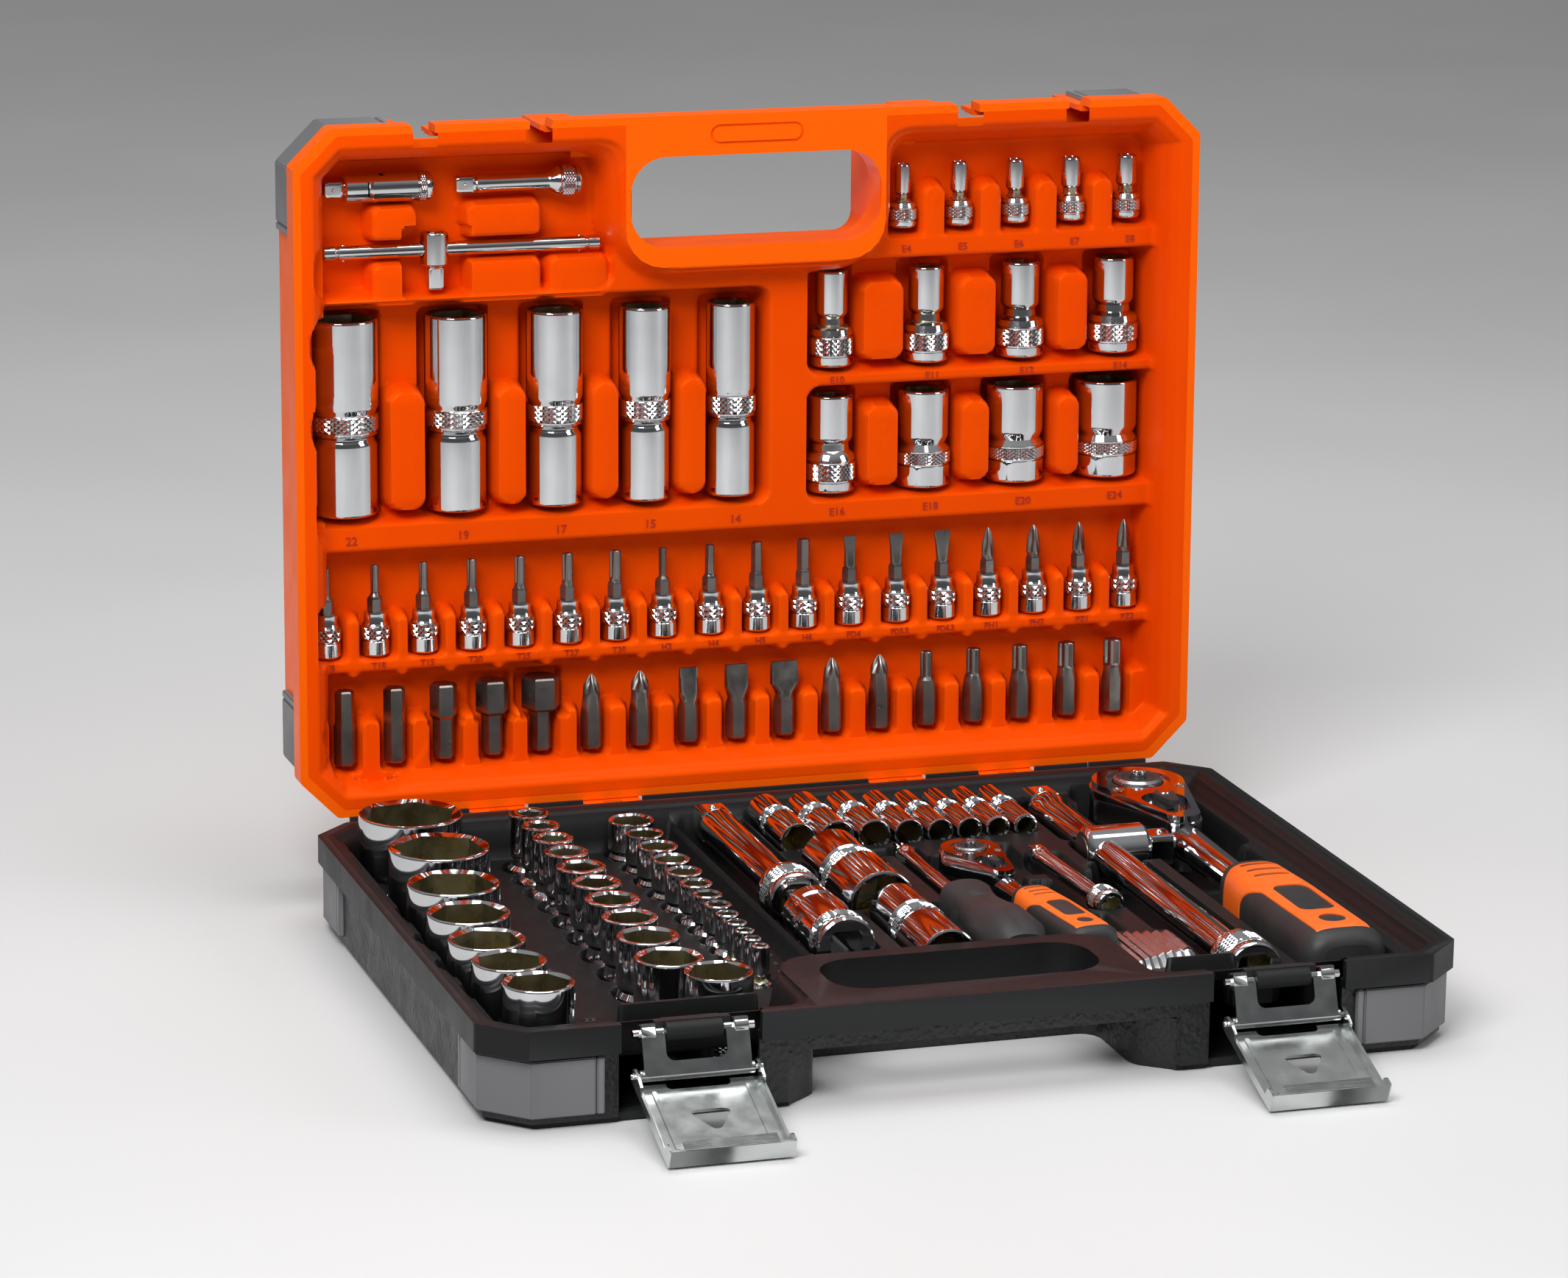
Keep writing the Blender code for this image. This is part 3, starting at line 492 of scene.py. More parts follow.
def recess_outline(half):
    """The finger recess seen from above: straight back wall, and columns rounded at the front."""
    wide, front, back = half + 15.0, -HALF_D - 20.0, -84.0
    corners = [(-wide, front), (wide, front), (wide, -HALF_D + 5.0), (half, -HALF_D + 17.0), (half, back),
               (-half, back), (-half, -HALF_D + 17.0), (-wide, -HALF_D + 5.0)]
    return arc_corner(corners, [0, 0, 9.0, 9.0, 8.0, 8.0, 9.0, 9.0], 6)


def case_half(side, height, recess_half, zone_half):
    """Outer moulding of one half with its rim plane at z 0 and its outside face at z -height."""
    def layer(outline, low, high):
        return prism(flip(outline, side), low, high)

    shell = layer(case_outline(0.0), -FLANGE, 0.0)
    joins = [layer(case_outline(WALL_INSET), -height + 2.0, -FLANGE + 1.0),
             layer(case_outline(WALL_INSET + 1.8), -height, -height + 3.0)]
    front = -HALF_D - 20.0
    hollow = layer(case_outline(STRIP), -FLANGE + 3.0, 5.0)
    zone = layer(rectangle(-zone_half, zone_half, front, -79.0, 16.0), -height - 5.0, 9.0)
    columns = layer(rectangle(-zone_half - 18.0, zone_half + 18.0, front, -122.5),
                    -height - 5.0, -GRIP_DEPTH - 1.5)
    inner = layer(case_outline(WALL_INSET + 2.2), -height + 3.0, 1.0)
    pocket = carve(inner, [hollow], [zone, columns], 0.0)
    surround = layer(rectangle(-recess_half - 27.0, recess_half + 27.0, front, -68.0, 14.0),
                     -height - 5.0, -height + 5.0)
    face = carve(layer(case_outline(WALL_INSET + 14.0), -height - 2.0, -height + 0.9), [], [surround], 0.0)
    slot = rectangle(-SLOT_HALF, SLOT_HALF, -SLOT_FRONT, -SLOT_BACK, 15.0, 8)
    return shell, joins, [pocket, face, layer(slot, -height - 5.0, 5.0),
                          layer(recess_outline(recess_half), -height - 5.0, -GRIP_DEPTH)]


def panel_finish(bm, low, high, axis_limit=0.6):
    """Give the outward walls between two heights the second material slot."""
    for face in bm.faces:
        middle = face.calc_center_median()
        if low < middle.z < high and abs(face.normal.z) < axis_limit:
            face.material_index = 1


def knuckle(x0, x1, y, z, radius, tie):
    """Two barrels with the pin showing between them, tied back to the case."""
    shapes = []
    barrel = min(8.0, (x1 - x0) * 0.36)
    ends = [(x0, x0 + barrel), (x1 - barrel, x1)] if x1 - x0 < 40.0 else [(x0, x1)]
    for low, high in ends:
        shapes.append(add_loft(bmesh.new(), [(low, radius), (high, radius)], 28,
                               move=aim((0.0, y, z), ACROSS)))
        shapes.append(prism(rectangle(low, high, *tie[:2]), *tie[2:]))
    shapes.append(prism(rectangle(x0, x1, *tie[:2]), tie[2], tie[2] + (tie[3] - tie[2]) * 0.35))
    return shapes


HINGE_Y = 146.0
HINGE_Z = 30.65
HINGE_BORE = 2.25
BARREL = 4.4
BARREL_TIE = (26.4, 32.0)
BASE_KNUCKLES = [(-145.9, -122.4), (-97.2, -74.3), (-48.8, 48.8), (74.3, 97.2), (122.4, 145.9)]
LID_KNUCKLES = [(-121.7, -97.9), (-73.6, -49.5), (49.5, 73.6), (97.9, 121.7)]


def base_case():
    shell, joins, cuts = case_half(-1, BASE_HEIGHT, 62.0, BASE_ZONE)
    rim = -BASE_HEIGHT
    for x0, x1 in BASE_KNUCKLES:
        tie = (HALF_D - 1.0, HINGE_Y, BARREL_TIE[0] + rim, BARREL_TIE[1] + rim)
        joins += knuckle(x0, x1, HINGE_Y, HINGE_Z + rim, BARREL, tie)
    for x0, x1 in BASE_KNUCKLES + [(-172.0, -146.6), (146.6, 172.0)]:
        joins.append(prism(rectangle(x0, x1, HALF_D - 1.0, 152.2), BARREL_TIE[0] + rim, 28.2 + rim))
        joins.append(prism(rectangle(x0, x1, 150.7, 152.3), BARREL_TIE[0] + rim, 36.9 + rim))
    bore = bmesh.new()
    for start, end in ((-150.0, -34.0), (34.0, 150.0)):
        add_loft(bore, [(start, HINGE_BORE), (end, HINGE_BORE)], 20,
                 move=aim((0.0, HINGE_Y, HINGE_Z + rim), ACROSS))
    cuts.append(bore)
    for s in (-1, 1):
        middle = s * LATCH_X
        for x0, x1 in ((middle - LATCH_HALF, middle - 14.2), (middle + 14.2, middle + LATCH_HALF)):
            cuts.append(prism(rectangle(x0, x1, -150.0, -134.6), -45.0, 2.0))
        cuts.append(prism(rectangle(middle - 15.0, middle + 15.0, -150.0, -134.6), -45.0, 31.2 + rim))
        cuts.append(prism(rectangle(middle - 14.2, middle + 14.2, -150.0, -140.6), 37.9 + rim, 2.0))
    bm = carve(shell, joins, cuts, 0.7)
    panel_finish(bm, -BASE_HEIGHT + 2.2, -FLANGE - 0.2)
    bmesh.ops.translate(bm, vec=(0.0, 0.0, BASE_HEIGHT), verts=bm.verts)
    piece("base_case", bm, ["black", "leather"], BASE, "base", ["base_shell"], 32.0)


def lid_case():
    shell, joins, cuts = case_half(1, LID_HEIGHT, 54.2, LID_ZONE)
    hinge_v = HALF_D - HINGE_Y
    hinge_h = BASE_HEIGHT + RIM_GAP - HINGE_Z
    for x0, x1 in LID_KNUCKLES:
        tie = (hinge_v - HALF_D - 3.0, -HALF_D - 0.6, -3.1, hinge_h)
        joins += knuckle(x0, x1, hinge_v - HALF_D, hinge_h, BARREL, tie)
        joins.append(prism(rectangle(x0, x1, -HALF_D - 8.0, -HALF_D + 2.0), -3.1, -0.6))
    bore = bmesh.new()
    add_loft(bore, [(-150.0, HINGE_BORE), (150.0, HINGE_BORE)], 20,
             move=aim((0.0, hinge_v - HALF_D, hinge_h), ACROSS))
    cuts.append(bore)
    edge = HALF_D
    for s in (-1, 1):
        middle = s * LATCH_X
        for t in (-1, 1):
            near, far = sorted((middle + t * 19.4, middle + t * 27.2))
            flare = t * 3.0
            shape = [(near, edge - 7.5), (far, edge - 7.5), (far + max(flare, 0.0), edge + 5.0),
                     (near + min(flare, 0.0), edge + 5.0)]
            cuts.append(prism(shape, -FLANGE - 2.0, 3.0))
            cuts.append(prism(rectangle(near, far, edge - 11.7, edge + 10.0), -24.2, -FLANGE + 1.0))
        cuts.append(prism(rectangle(middle - 27.2, middle + 27.2, edge - 11.7, edge + 10.0), -52.0, -23.2))
        cuts.append(prism(rectangle(middle - 27.2, middle + 27.2, edge - 11.7, edge - 5.3), -24.2, -18.7))
    cuts.append(carve(prism(rectangle(-19.6, 19.6, HALF_D - 12.2, HALF_D - 4.2, 3.9, 6), -0.8, 3.0), [],
                      [prism(rectangle(-18.6, 18.6, HALF_D - 11.2, HALF_D - 5.2, 2.9, 6), -2.0, 5.0)], 0.0))
    bm = carve(shell, joins, cuts, 0.7)
    bmesh.ops.translate(bm, vec=(0.0, HALF_D, 0.0), verts=bm.verts)
    piece("lid_case", bm, ["orange"], LID, "lid", ["lid_shell"], 32.0)


def corner_guards():
    """Grey faceted guards round the corners of both halves, with a seam line near each end."""
    halves = (("base", BASE_HEIGHT, BASE, (0.0, 0.0, BASE_HEIGHT), 1),
              ("lid", LID_HEIGHT, LID, (0.0, HALF_D, 0.0), -1))
    for half, height, place, shift, to_back in halves:
        for sx, sy in ((-1, -1), (-1, 1), (1, -1), (1, 1)):
            bands = [prism([(x * sx, y * sy) for x, y in band], -height + 4.5, -FLANGE - 1.2)
                     for start, end in ((0.0, 24.0), (24.6, 27.4)) for band in guard_bands(start, end)]
            bm = merged(bands)
            bmesh.ops.translate(bm, vec=shift, verts=bm.verts)
            bmesh.ops.bevel(bm, geom=list(bm.edges), offset=0.45, segments=2, affect="EDGES")
            name = "%s_corner_guard_%s_%s" % (half, "right" if sx > 0 else "left",
                                              "back" if sy * to_back > 0 else "front")
            piece(name, bm, ["guard"], place, half, smooth=25.0)


def guard_bands(start, end):
    """Bands of the guard in the +X +Y corner, from start to end along each straight wall."""
    out, inn = WALL_INSET - 1.9, WALL_INSET + 0.6
    w0, d0, w1, d1 = HALF_W - out, HALF_D - out, HALF_W - inn, HALF_D - inn
    c0, c1 = CORNER - out * 0.2 + 1.0, CORNER - inn * 0.2
    if start == 0.0:
        return [[(w0 - c0 - end, d0), (w0 - c0, d0), (w0, d0 - c0), (w0, d0 - c0 - end),
                 (w1, d1 - c1 - end), (w1, d1 - c1), (w1 - c1, d1), (w1 - c1 - end, d1)][::-1]]
    return [[(w0 - c0 - end, d0), (w0 - c0 - start, d0), (w0 - c0 - start, d1), (w0 - c0 - end, d1)],
            [(w1, d0 - c0 - end), (w0, d0 - c0 - end), (w0, d0 - c0 - start), (w1, d0 - c0 - start)]]


# ---------------------------------------------------------------- moulded trays

def box_distance(x, y, x0, x1, y0, y1, radius=2.0):
    """Signed distance to a rounded rectangle, negative inside."""
    qx = np.abs(x - (x0 + x1) / 2) - (x1 - x0) / 2 + radius
    qy = np.abs(y - (y0 + y1) / 2) - (y1 - y0) / 2 + radius
    outside = np.hypot(np.maximum(qx, 0.0), np.maximum(qy, 0.0))
    return outside + np.minimum(np.maximum(qx, qy), 0.0) - radius


def disc_distance(x, y, cx, cy, radius):
    return np.hypot(x - cx, y - cy) - radius


def join(a, b, blend=0.0):
    """Union of two distances, with a fillet of about the blend."""
    if not blend:
        return np.minimum(a, b)
    t = np.clip(0.5 + 0.5 * (b - a) / blend, 0.0, 1.0)
    return b * (1.0 - t) + a * t - blend * t * (1.0 - t)


def without(a, b, blend=0.0):
    return -join(-a, b, blend)


def share(distance, draft):
    """1 inside, 0 outside, and a smooth drafted wall between."""
    t = np.clip(0.5 - distance / draft, 0.0, 1.0)
    return t * t * (3.0 - 2.0 * t)


class Relief:
    """A moulded skin as heights on a fine grid."""

    def __init__(self, x0, x1, y0, y1, level):
        xs = np.linspace(x0, x1, int(round((x1 - x0) / CELL)) + 1)
        ys = np.linspace(y0, y1, int(round((y1 - y0) / CELL)) + 1)
        self.x, self.y = np.meshgrid(xs, ys)
        self.h = np.full(self.x.shape, level, float)
        self.keep = np.ones(self.x.shape, bool)

    def box(self, x0, x1, y0, y1, radius=2.0):
        return box_distance(self.x, self.y, x0, x1, y0, y1, radius)

    def disc(self, cx, cy, radius):
        return disc_distance(self.x, self.y, cx, cy, radius)

    def blend(self, share_in, height, where=True):
        self.h = np.where(where, self.h * (1.0 - share_in) + height * share_in, self.h)

    def level(self, distance, height, draft=1.6):
        self.blend(share(distance, draft), height)

    def sink(self, distance, height, draft=1.6):
        self.blend(share(distance, draft), height, self.h > height)

    def lift(self, distance, height, draft=1.6):
        self.blend(share(distance, draft), height, self.h < height)

    def trough(self, centre, radius, low, high, axis_height):
        """A round-bottomed trough along Y for a lying tool."""
        across = self.x - centre
        depth = axis_height - np.sqrt(np.maximum(radius ** 2 - across ** 2, 0.0))
        distance = np.maximum(np.abs(across) - radius, np.maximum(low - self.y, self.y - high))
        self.sink(distance, depth, 1.4)

    def mesh(self, x_low, x_high):
        """The part of the skin between two x values as a bmesh."""
        columns = np.where((self.x[0] >= x_low - 1e-6) & (self.x[0] <= x_high + 1e-6))[0]
        c0, c1 = columns[0], columns[-1] + 1
        x, y, h, keep = (a[:, c0:c1] for a in (self.x, self.y, self.h, self.keep))
        rows, cols = x.shape
        number = np.arange(rows * cols).reshape(rows, cols)
        good = keep[:-1, :-1] & keep[1:, :-1] & keep[:-1, 1:] & keep[1:, 1:]
        a, b = number[:-1, :-1][good], number[:-1, 1:][good]
        c, d = number[1:, 1:][good], number[1:, :-1][good]
        faces = np.stack([a, b, c, d], 1)
        used = np.unique(faces)
        order = np.zeros(rows * cols, int)
        order[used] = np.arange(len(used))
        points = np.stack([x.ravel(), y.ravel(), h.ravel()], 1)[used]
        mesh = bpy.data.meshes.new("skin")
        mesh.from_pydata(points.tolist(), [], order[faces].tolist())
        bm = bmesh.new()
        bm.from_mesh(mesh)
        bpy.data.meshes.remove(mesh)
        return bm


def case_distance(relief, centre_y):
    """Distance to the outer outline with its cut corners."""
    x, y = np.abs(relief.x), np.abs(relief.y - centre_y)
    edges = np.maximum(x - HALF_W, y - HALF_D)
    return np.maximum(edges, (x + y - (HALF_W + HALF_D - CORNER)) / math.sqrt(2))


def cavity_distance(relief, side, wall, centre_y, zone_half, zone_back):
    """The cavity's edge: the outline drawn in by the wall, less the handle's zone."""
    inner = case_distance(relief, centre_y) + wall
    y = (relief.y - centre_y) * side
    zone = box_distance(relief.x, y, -zone_half, zone_half, zone_back, HALF_D + 40.0, 22.0)
    return without(inner, zone, 12.0)


def trim_to_case(relief, centre_y, zone, buried):
    """Leave the skin out beyond the case and in the handle's zone, and bury it under the rim strip."""
    outline = case_distance(relief, centre_y)
    relief.keep &= (outline < -1.4) & (zone > -3.5)
    relief.h = np.where((outline > -(STRIP - 0.4)) | (zone < -1.0), buried, relief.h)


# Pockets of the lying tools, repeated from the design: x0, x1, y0, y1, floor.
POCKETS = [
    (-41.5, -14.5, -57.5, 128.5, 19.5),
    (-11.2, 18.2, -5.5, 62.5, 17.2),
    (-5.0, 18.2, -76.0, -5.5, 20.2),
    (22.0, 49.8, -77.4, -4.0, 14.8),
    (30.5, 41.5, -4.0, 73.5, 24.0),
    (41.0, 70.0, 2.0, 56.0, 13.5),
    (50.9, 78.6, -77.4, 14.0, 19.5),
    (80.2, 96.0, -30.0, 50.5, 24.6),
    (104.0, 145.5, 30.0, 62.0, 17.6),
    (100.6, 124.6, -120.4, 30.0, 17.6),
    (104.0, 121.2, 62.0, 125.5, 22.2),
    (129.0, 175.0, 40.0, 128.8, 6.0),
    (133.0, 171.0, -119.0, 40.0, 11.0),
]

LARGE = [(32, 41.5, -157.5, 107.5, 6.0), (30, 40.0, -157.5, 61.5, 5.2), (27, 36.0, -163.0, 17.0, 5.8),
         (24, 32.0, -166.5, -20.0, 7.2), (23, 29.5, -168.0, -53.0, 7.8), (22, 28.0, -167.0, -82.0, 9.2),
         (21, 27.0, -163.4, -109.8, 9.2)]
MID_ROW_X = -107.0
MID_ROW = [16.2, 15.6, 16.6, 17.8, 19.8, 19.8, 21.6, 21.6, 24.0, 26.0]
MID_SIZES = [8, 9, 10, 11, 12, 13, 14, 15, 17, 19]
SMALL_ROW_X = -62.5
SMALL_ROW = [19.0, 15.6, 16.6, 15.6, 15.0, 13.4, 12.0, 11.0, 9.4, 8.6, 8.0, 7.4, 7.2]
SMALL_SIZES = ["14", "13", "12", "11", "10", "9", "8", "7", "6", "5.5", "5", "4.5", "4"]
DEEP_ROW = [15.2, 15.0, 14.0, 12.6, 11.4, 11.0, 10.6, 10.4]
DEEP_SIZES = [13, 12, 11, 10, 9, 8, 7, 6]


def row_places(sizes, start, gap, direction=-1):
    """Middles of round pieces standing side by side from a start edge."""
    places = []
    at = start
    for width in sizes:
        at += direction * width / 2
        places.append(at)
        at += direction * (width / 2 + gap)
    return places


MID_Y = row_places(MID_ROW, 122.5, 2.4)
SMALL_Y = row_places(SMALL_ROW, 130.0, 2.6)
DEEP_X = row_places(DEEP_ROW, -11.8, 1.4, 1)


def base_skin():
    """The black tray: standing rows on the left, and blocks and pockets for lying tools on the right."""
    r = Relief(-SKIN_HALF, SKIN_HALF, -139.5, 139.5, BASE_HEIGHT - 0.06)
    edge = cavity_distance(r, -1, 7.0, 0.0, BASE_ZONE, 79.0)
    r.level(edge, 36.4, 1.2)
    r.level(edge + 2.6, 34.2, 1.2)
    r.level(edge + 4.8, HIGH_DECK, 3.2)
    r.level(np.maximum(edge + 5.0, r.x - DECK_SPLIT), LOW_DECK, 3.0)

    for _, width, x, y, floor in LARGE:
        r.sink(r.disc(x, y, width / 2 + 1.4), floor - 0.5)
        r.sink(r.disc(x - 4.0, y, width / 2 - 1.0), floor + 6.0, 3.0)
    for width, y in zip(MID_ROW, MID_Y):
        r.sink(r.disc(MID_ROW_X, y, max(width / 2, 9.5) + 0.8), 8.0)
    r.sink(r.disc(-94.0, -106.0, 13.8), 8.0)
    for width, y in zip(SMALL_ROW, SMALL_Y):
        r.sink(r.disc(SMALL_ROW_X, y, max(width / 2, 5.4) + 0.7), 12.0)
    r.lift(r.box(-137.5, -133.0, -126.0, 128.0, 1.5), LOW_DECK)

    # Lower ground between the blocks on the right.
    for x0, x1, y0, y1 in ((14.0, 40.0, 62.0, 70.0), (70.0, 80.0, 22.0, 66.0),
                           (96.0, 104.0, -60.0, 20.0), (124.6, 133.0, 66.0, 112.0),
                           (78.6, 84.0, -58.0, -34.0), (-14.5, -11.2, -20.0, 50.0)):
        r.sink(r.box(x0, x1, y0, y1, 2.0), 24.0, 2.4)
    for x0, x1, y0, y1, floor in POCKETS:
        r.sink(r.box(x0, x1, y0, y1, 5.0), floor)
    for width, x in zip(DEEP_ROW, DEEP_X):
        r.trough(x, width / 2 + 0.7, 79.0, 129.0, HIGH_DECK + width * 0.2)
    r.sink(r.box(62.0, 98.0, -108.0, -82.0, 4.0), 24.0, 2.4)
    r.lift(r.box(64.0, 97.0, -106.0, -84.0, 3.0), HIGH_DECK - 1.5, 2.0)
    for i in range(9):
        x = 67.0 + i * 3.3
        r.sink(r.box(x - 0.9, x + 0.9, -104.0 + i * 0.6, -62.0 - i * 2.0, 0.8), 25.0, 1.2)

    # Shelf in front of the deep sockets, raised marks on the rim.
    r.level(r.box(-137.0, -83.0, -122.5, -118.5, 1.8), 39.3, 1.4)
    r.level(r.box(76.0, 104.0, -122.5, -119.0, 1.6), 39.3, 1.4)
    zone = box_distance(r.x, r.y, -BASE_ZONE, BASE_ZONE, -160.0, -79.0, 16.0)
    trim_to_case(r, 0.0, zone, BASE_HEIGHT - BURIED)
    for s in (-1, 1):
        r.keep &= box_distance(r.x, r.y, s * LATCH_X - 27.5, s * LATCH_X + 27.5, -160.0, -133.4, 0.5) > 0.0
    split = DECK_SPLIT + 0.5
    piece("base_tray_left", r.mesh(-SKIN_HALF, split), ["black"], BASE, "base", ["base_tray"], 60.0)
    piece("base_tray_right", r.mesh(split, SKIN_HALF), ["black"], BASE, "base", smooth=60.0)


DEEP = [(22, 28.4, -166.5), (19, 25.6, -120.2), (17, 23.2, -79.2), (15, 21.4, -41.3), (14, 20.2, -4.9)]
DEEP_FRONT = -10.0
STAR_SMALL_X = [68.0 + 24.5 * i for i in range(5)]
STAR_MID_X = [38.6 + 41.4 * i for i in range(4)]
STAR_BIG_X = [39.0 + 40.8 * i for i in range(4)]
BIT_SOCKET_X = [-176.0 + 20.25 * i for i in range(18)]
BIT_X = [-169.3 + 20.8 * i for i in range(17)]


def lid_skin():
    """The orange tray: shelves between the rows, troughs, and blocks standing between the tools."""
    r = Relief(-SKIN_HALF, SKIN_HALF, 1.0, DEPTH - 1.0, -0.06)
    edge = cavity_distance(r, 1, 9.0, HALF_D, LID_ZONE, 78.0)
    r.level(edge, -2.2, 1.2)
    r.level(edge + 2.2, -4.6, 1.2)
    r.level(edge + 4.4, LID_DECK, 4.5)
    inside = edge + 6.5

    def trough(x0, x1, v0, v1, depth, radius=5.0, draft=3.0):
        r.sink(np.maximum(r.box(x0, x1, v0, v1, radius), inside), depth, draft)

    def block(x0, x1, v0, v1, height=LID_DECK, radius=4.5):
        distance = r.box(x0, x1, v0, v1, radius)
        crown = np.clip(-distance, 0.0, 5.0) * 0.16
        r.lift(distance, height - 0.8 + crown, 2.2)

    trough(-184.0, 180.0, 14.0, 56.0, -24.0)
    trough(-184.0, 180.0, 63.0, 106.0, -25.5)
    trough(-184.0, 8.5, 118.5, 207.0, -27.0)
    trough(27.0, 180.0, 117.5, 164.0, -27.0)
    trough(27.0, 180.0, 170.5, 216.0, -27.0)
    trough(57.0, 180.0, 226.5, 264.0, -24.0)
    trough(-184.0, -58.0, 211.0, 266.0, -25.0)

    for first, second in zip(BIT_X[:-1], BIT_X[1:]):
        block(first + 4.9, second - 4.9, 9.0, 36.5, radius=4.6)
    block(-186.0, BIT_X[0] - 4.9, 9.0, 36.5)
    block(BIT_X[-1] + 4.9, 186.0, 9.0, 36.5)
    for first, second in zip(BIT_SOCKET_X[:-1], BIT_SOCKET_X[1:]):
        block(first + 6.9, second - 6.9, 54.0, 80.0, radius=3.0)
    for (_, w0, x0), (_, w1, x1) in zip(DEEP[:-1], DEEP[1:]):
        block(x0 + w0 / 2 + 1.4, x1 - w1 / 2 - 1.4, 122.0, 172.0, LID_DECK - 0.6, 6.0)
    for row, top, low, high in ((STAR_BIG_X, 21.0, 121.0, 156.0), (STAR_MID_X, 18.0, 174.0, 208.0)):
        for i in range(3):
            near = row[i] + (top + 2.0 * i) / 2 + 1.6
            far = row[i + 1] - (top + 2.0 * (i + 1)) / 2 - 1.6
            block(near, far, low, high, LID_DECK - 0.4, 5.0)
    for first, second in zip(STAR_SMALL_X[:-1], STAR_SMALL_X[1:]):
        block(first + 6.8, second - 6.8, 222.0, 247.0)
    block(54.0, STAR_SMALL_X[0] - 6.8, 222.0, 247.0)
    for x0, x1, v0, v1 in ((-157.0, -137.5, 232.5, 247.0), (-118.0, -86.0, 232.5, 247.0),
                           (-157.0, -137.0, 206.0, 224.0), (-122.5, -86.0, 206.0, 224.0),
                           (-188.0, -178.0, 232.5, 247.0), (-84.0, -58.0, 206.0, 224.0),
                           (-188.0, -178.0, 206.0, 224.0)):
        block(x0, x1, v0, v1, LID_DECK - 0.6, 3.5)

    # Pockets under the larger tools, so that nothing touches the skin.
    for _, width, x in DEEP:
        r.sink(r.box(x - width / 2 - 1.2, x + width / 2 + 1.2, 120.0, 202.6, 2.0), DEEP_FRONT - width - 0.8)
    for i, x in enumerate(STAR_MID_X):
        r.sink(r.box(x - 9.9 - i / 2, x + 9.9 + i / 2, 171.4, 213.4, 2.0), TOOL_FRONT - 19.0 - i)
    for i, x in enumerate(STAR_BIG_X):
        r.sink(r.box(x - 11.5 - i, x + 11.5 + i, 118.6, 161.4, 2.0), TOOL_FRONT - 22.0 - 2.0 * i)
    r.sink(r.box(-143.5, -116.5, 210.0, 238.0, 2.0), -25.0)
    for row, start, floor in ((BIT_X, 16.5, -21.5), (BIT_SOCKET_X, 62.5, -24.5)):
        for x in row:
            r.sink(r.box(x - 6.3, x + 6.3, start, start + 23.5, 2.0), floor)

    for x, size in zip(BIT_X, LONG_SIZES[:5]):
        axis, corner = TOOL_FRONT - 4.0 - max(size - 8.0, 0.0) / 2, size * 0.58
        r.sink(r.box(x - 5.8, x + 5.8, 15.5, 36.0, 1.0), axis - 5.4)
        r.sink(r.box(x - corner - 1.2, x + corner + 1.2, 33.0, 51.0, 1.0), axis - corner - 0.8)
    for size, width, x, y, _ in LARGE:
        top = node_box("socket_half_%d" % size)[1].z - BASE_HEIGHT
        r.sink(r.disc(x, HALF_D - y, width / 2 + 2.0), -top - 1.4, 1.2)

    # Round ejector marks on the blocks.
    marks = [(x + 19.0, 150.0) for x in (-143.5, -98.0)] + [(-22.0, 160.0), (59.5, 196.0), (101.0, 196.0)]
    marks += [(80.3, 240.0), (129.3, 240.0), (-100.0, 240.0), (60.0, 146.0), (102.0, 146.0), (142.0, 146.0)]
    for x, v in marks:
        r.h = r.h - 0.3 * share(np.abs(r.disc(x, v, 2.7)) - 0.35, 0.8)
    zone = box_distance(r.x, r.y - HALF_D, -LID_ZONE, LID_ZONE, 79.0, 160.0, 16.0)
    trim_to_case(r, HALF_D, zone, -BURIED)
    for s in (-1, 1):
        for t in (-1, 1):
            near, far = sorted((s * LATCH_X + t * 18.6, s * LATCH_X + t * 28.2))
            r.keep &= box_distance(r.x, r.y, near, far, DEPTH - 8.4, DEPTH + 9.0, 0.5) > 0.0
    piece("lid_tray_left", r.mesh(-SKIN_HALF, LID_SPLIT), ["orange"], LID, "lid", ["lid_tray"], 60.0)
    piece("lid_tray_right", r.mesh(LID_SPLIT, SKIN_HALF), ["orange"], LID, "lid", smooth=60.0)


# ---------------------------------------------------------------- sockets and bits

def knurl_band(z0, z1, radius, rows=6):
    """Stations of a diamond knurl with a groove at each end."""
    made = [(z0 - 0.5, radius - 0.5), (z0, radius - 0.5)]
    for i in range(rows + 1):
        made.append((z0 + (z1 - z0) * (0.04 + 0.92 * i / rows), "knurl_a" if i % 2 else "knurl_b", radius))
    made += [(z1, radius - 0.5), (z1 + 0.5, radius - 0.5)]
    return made


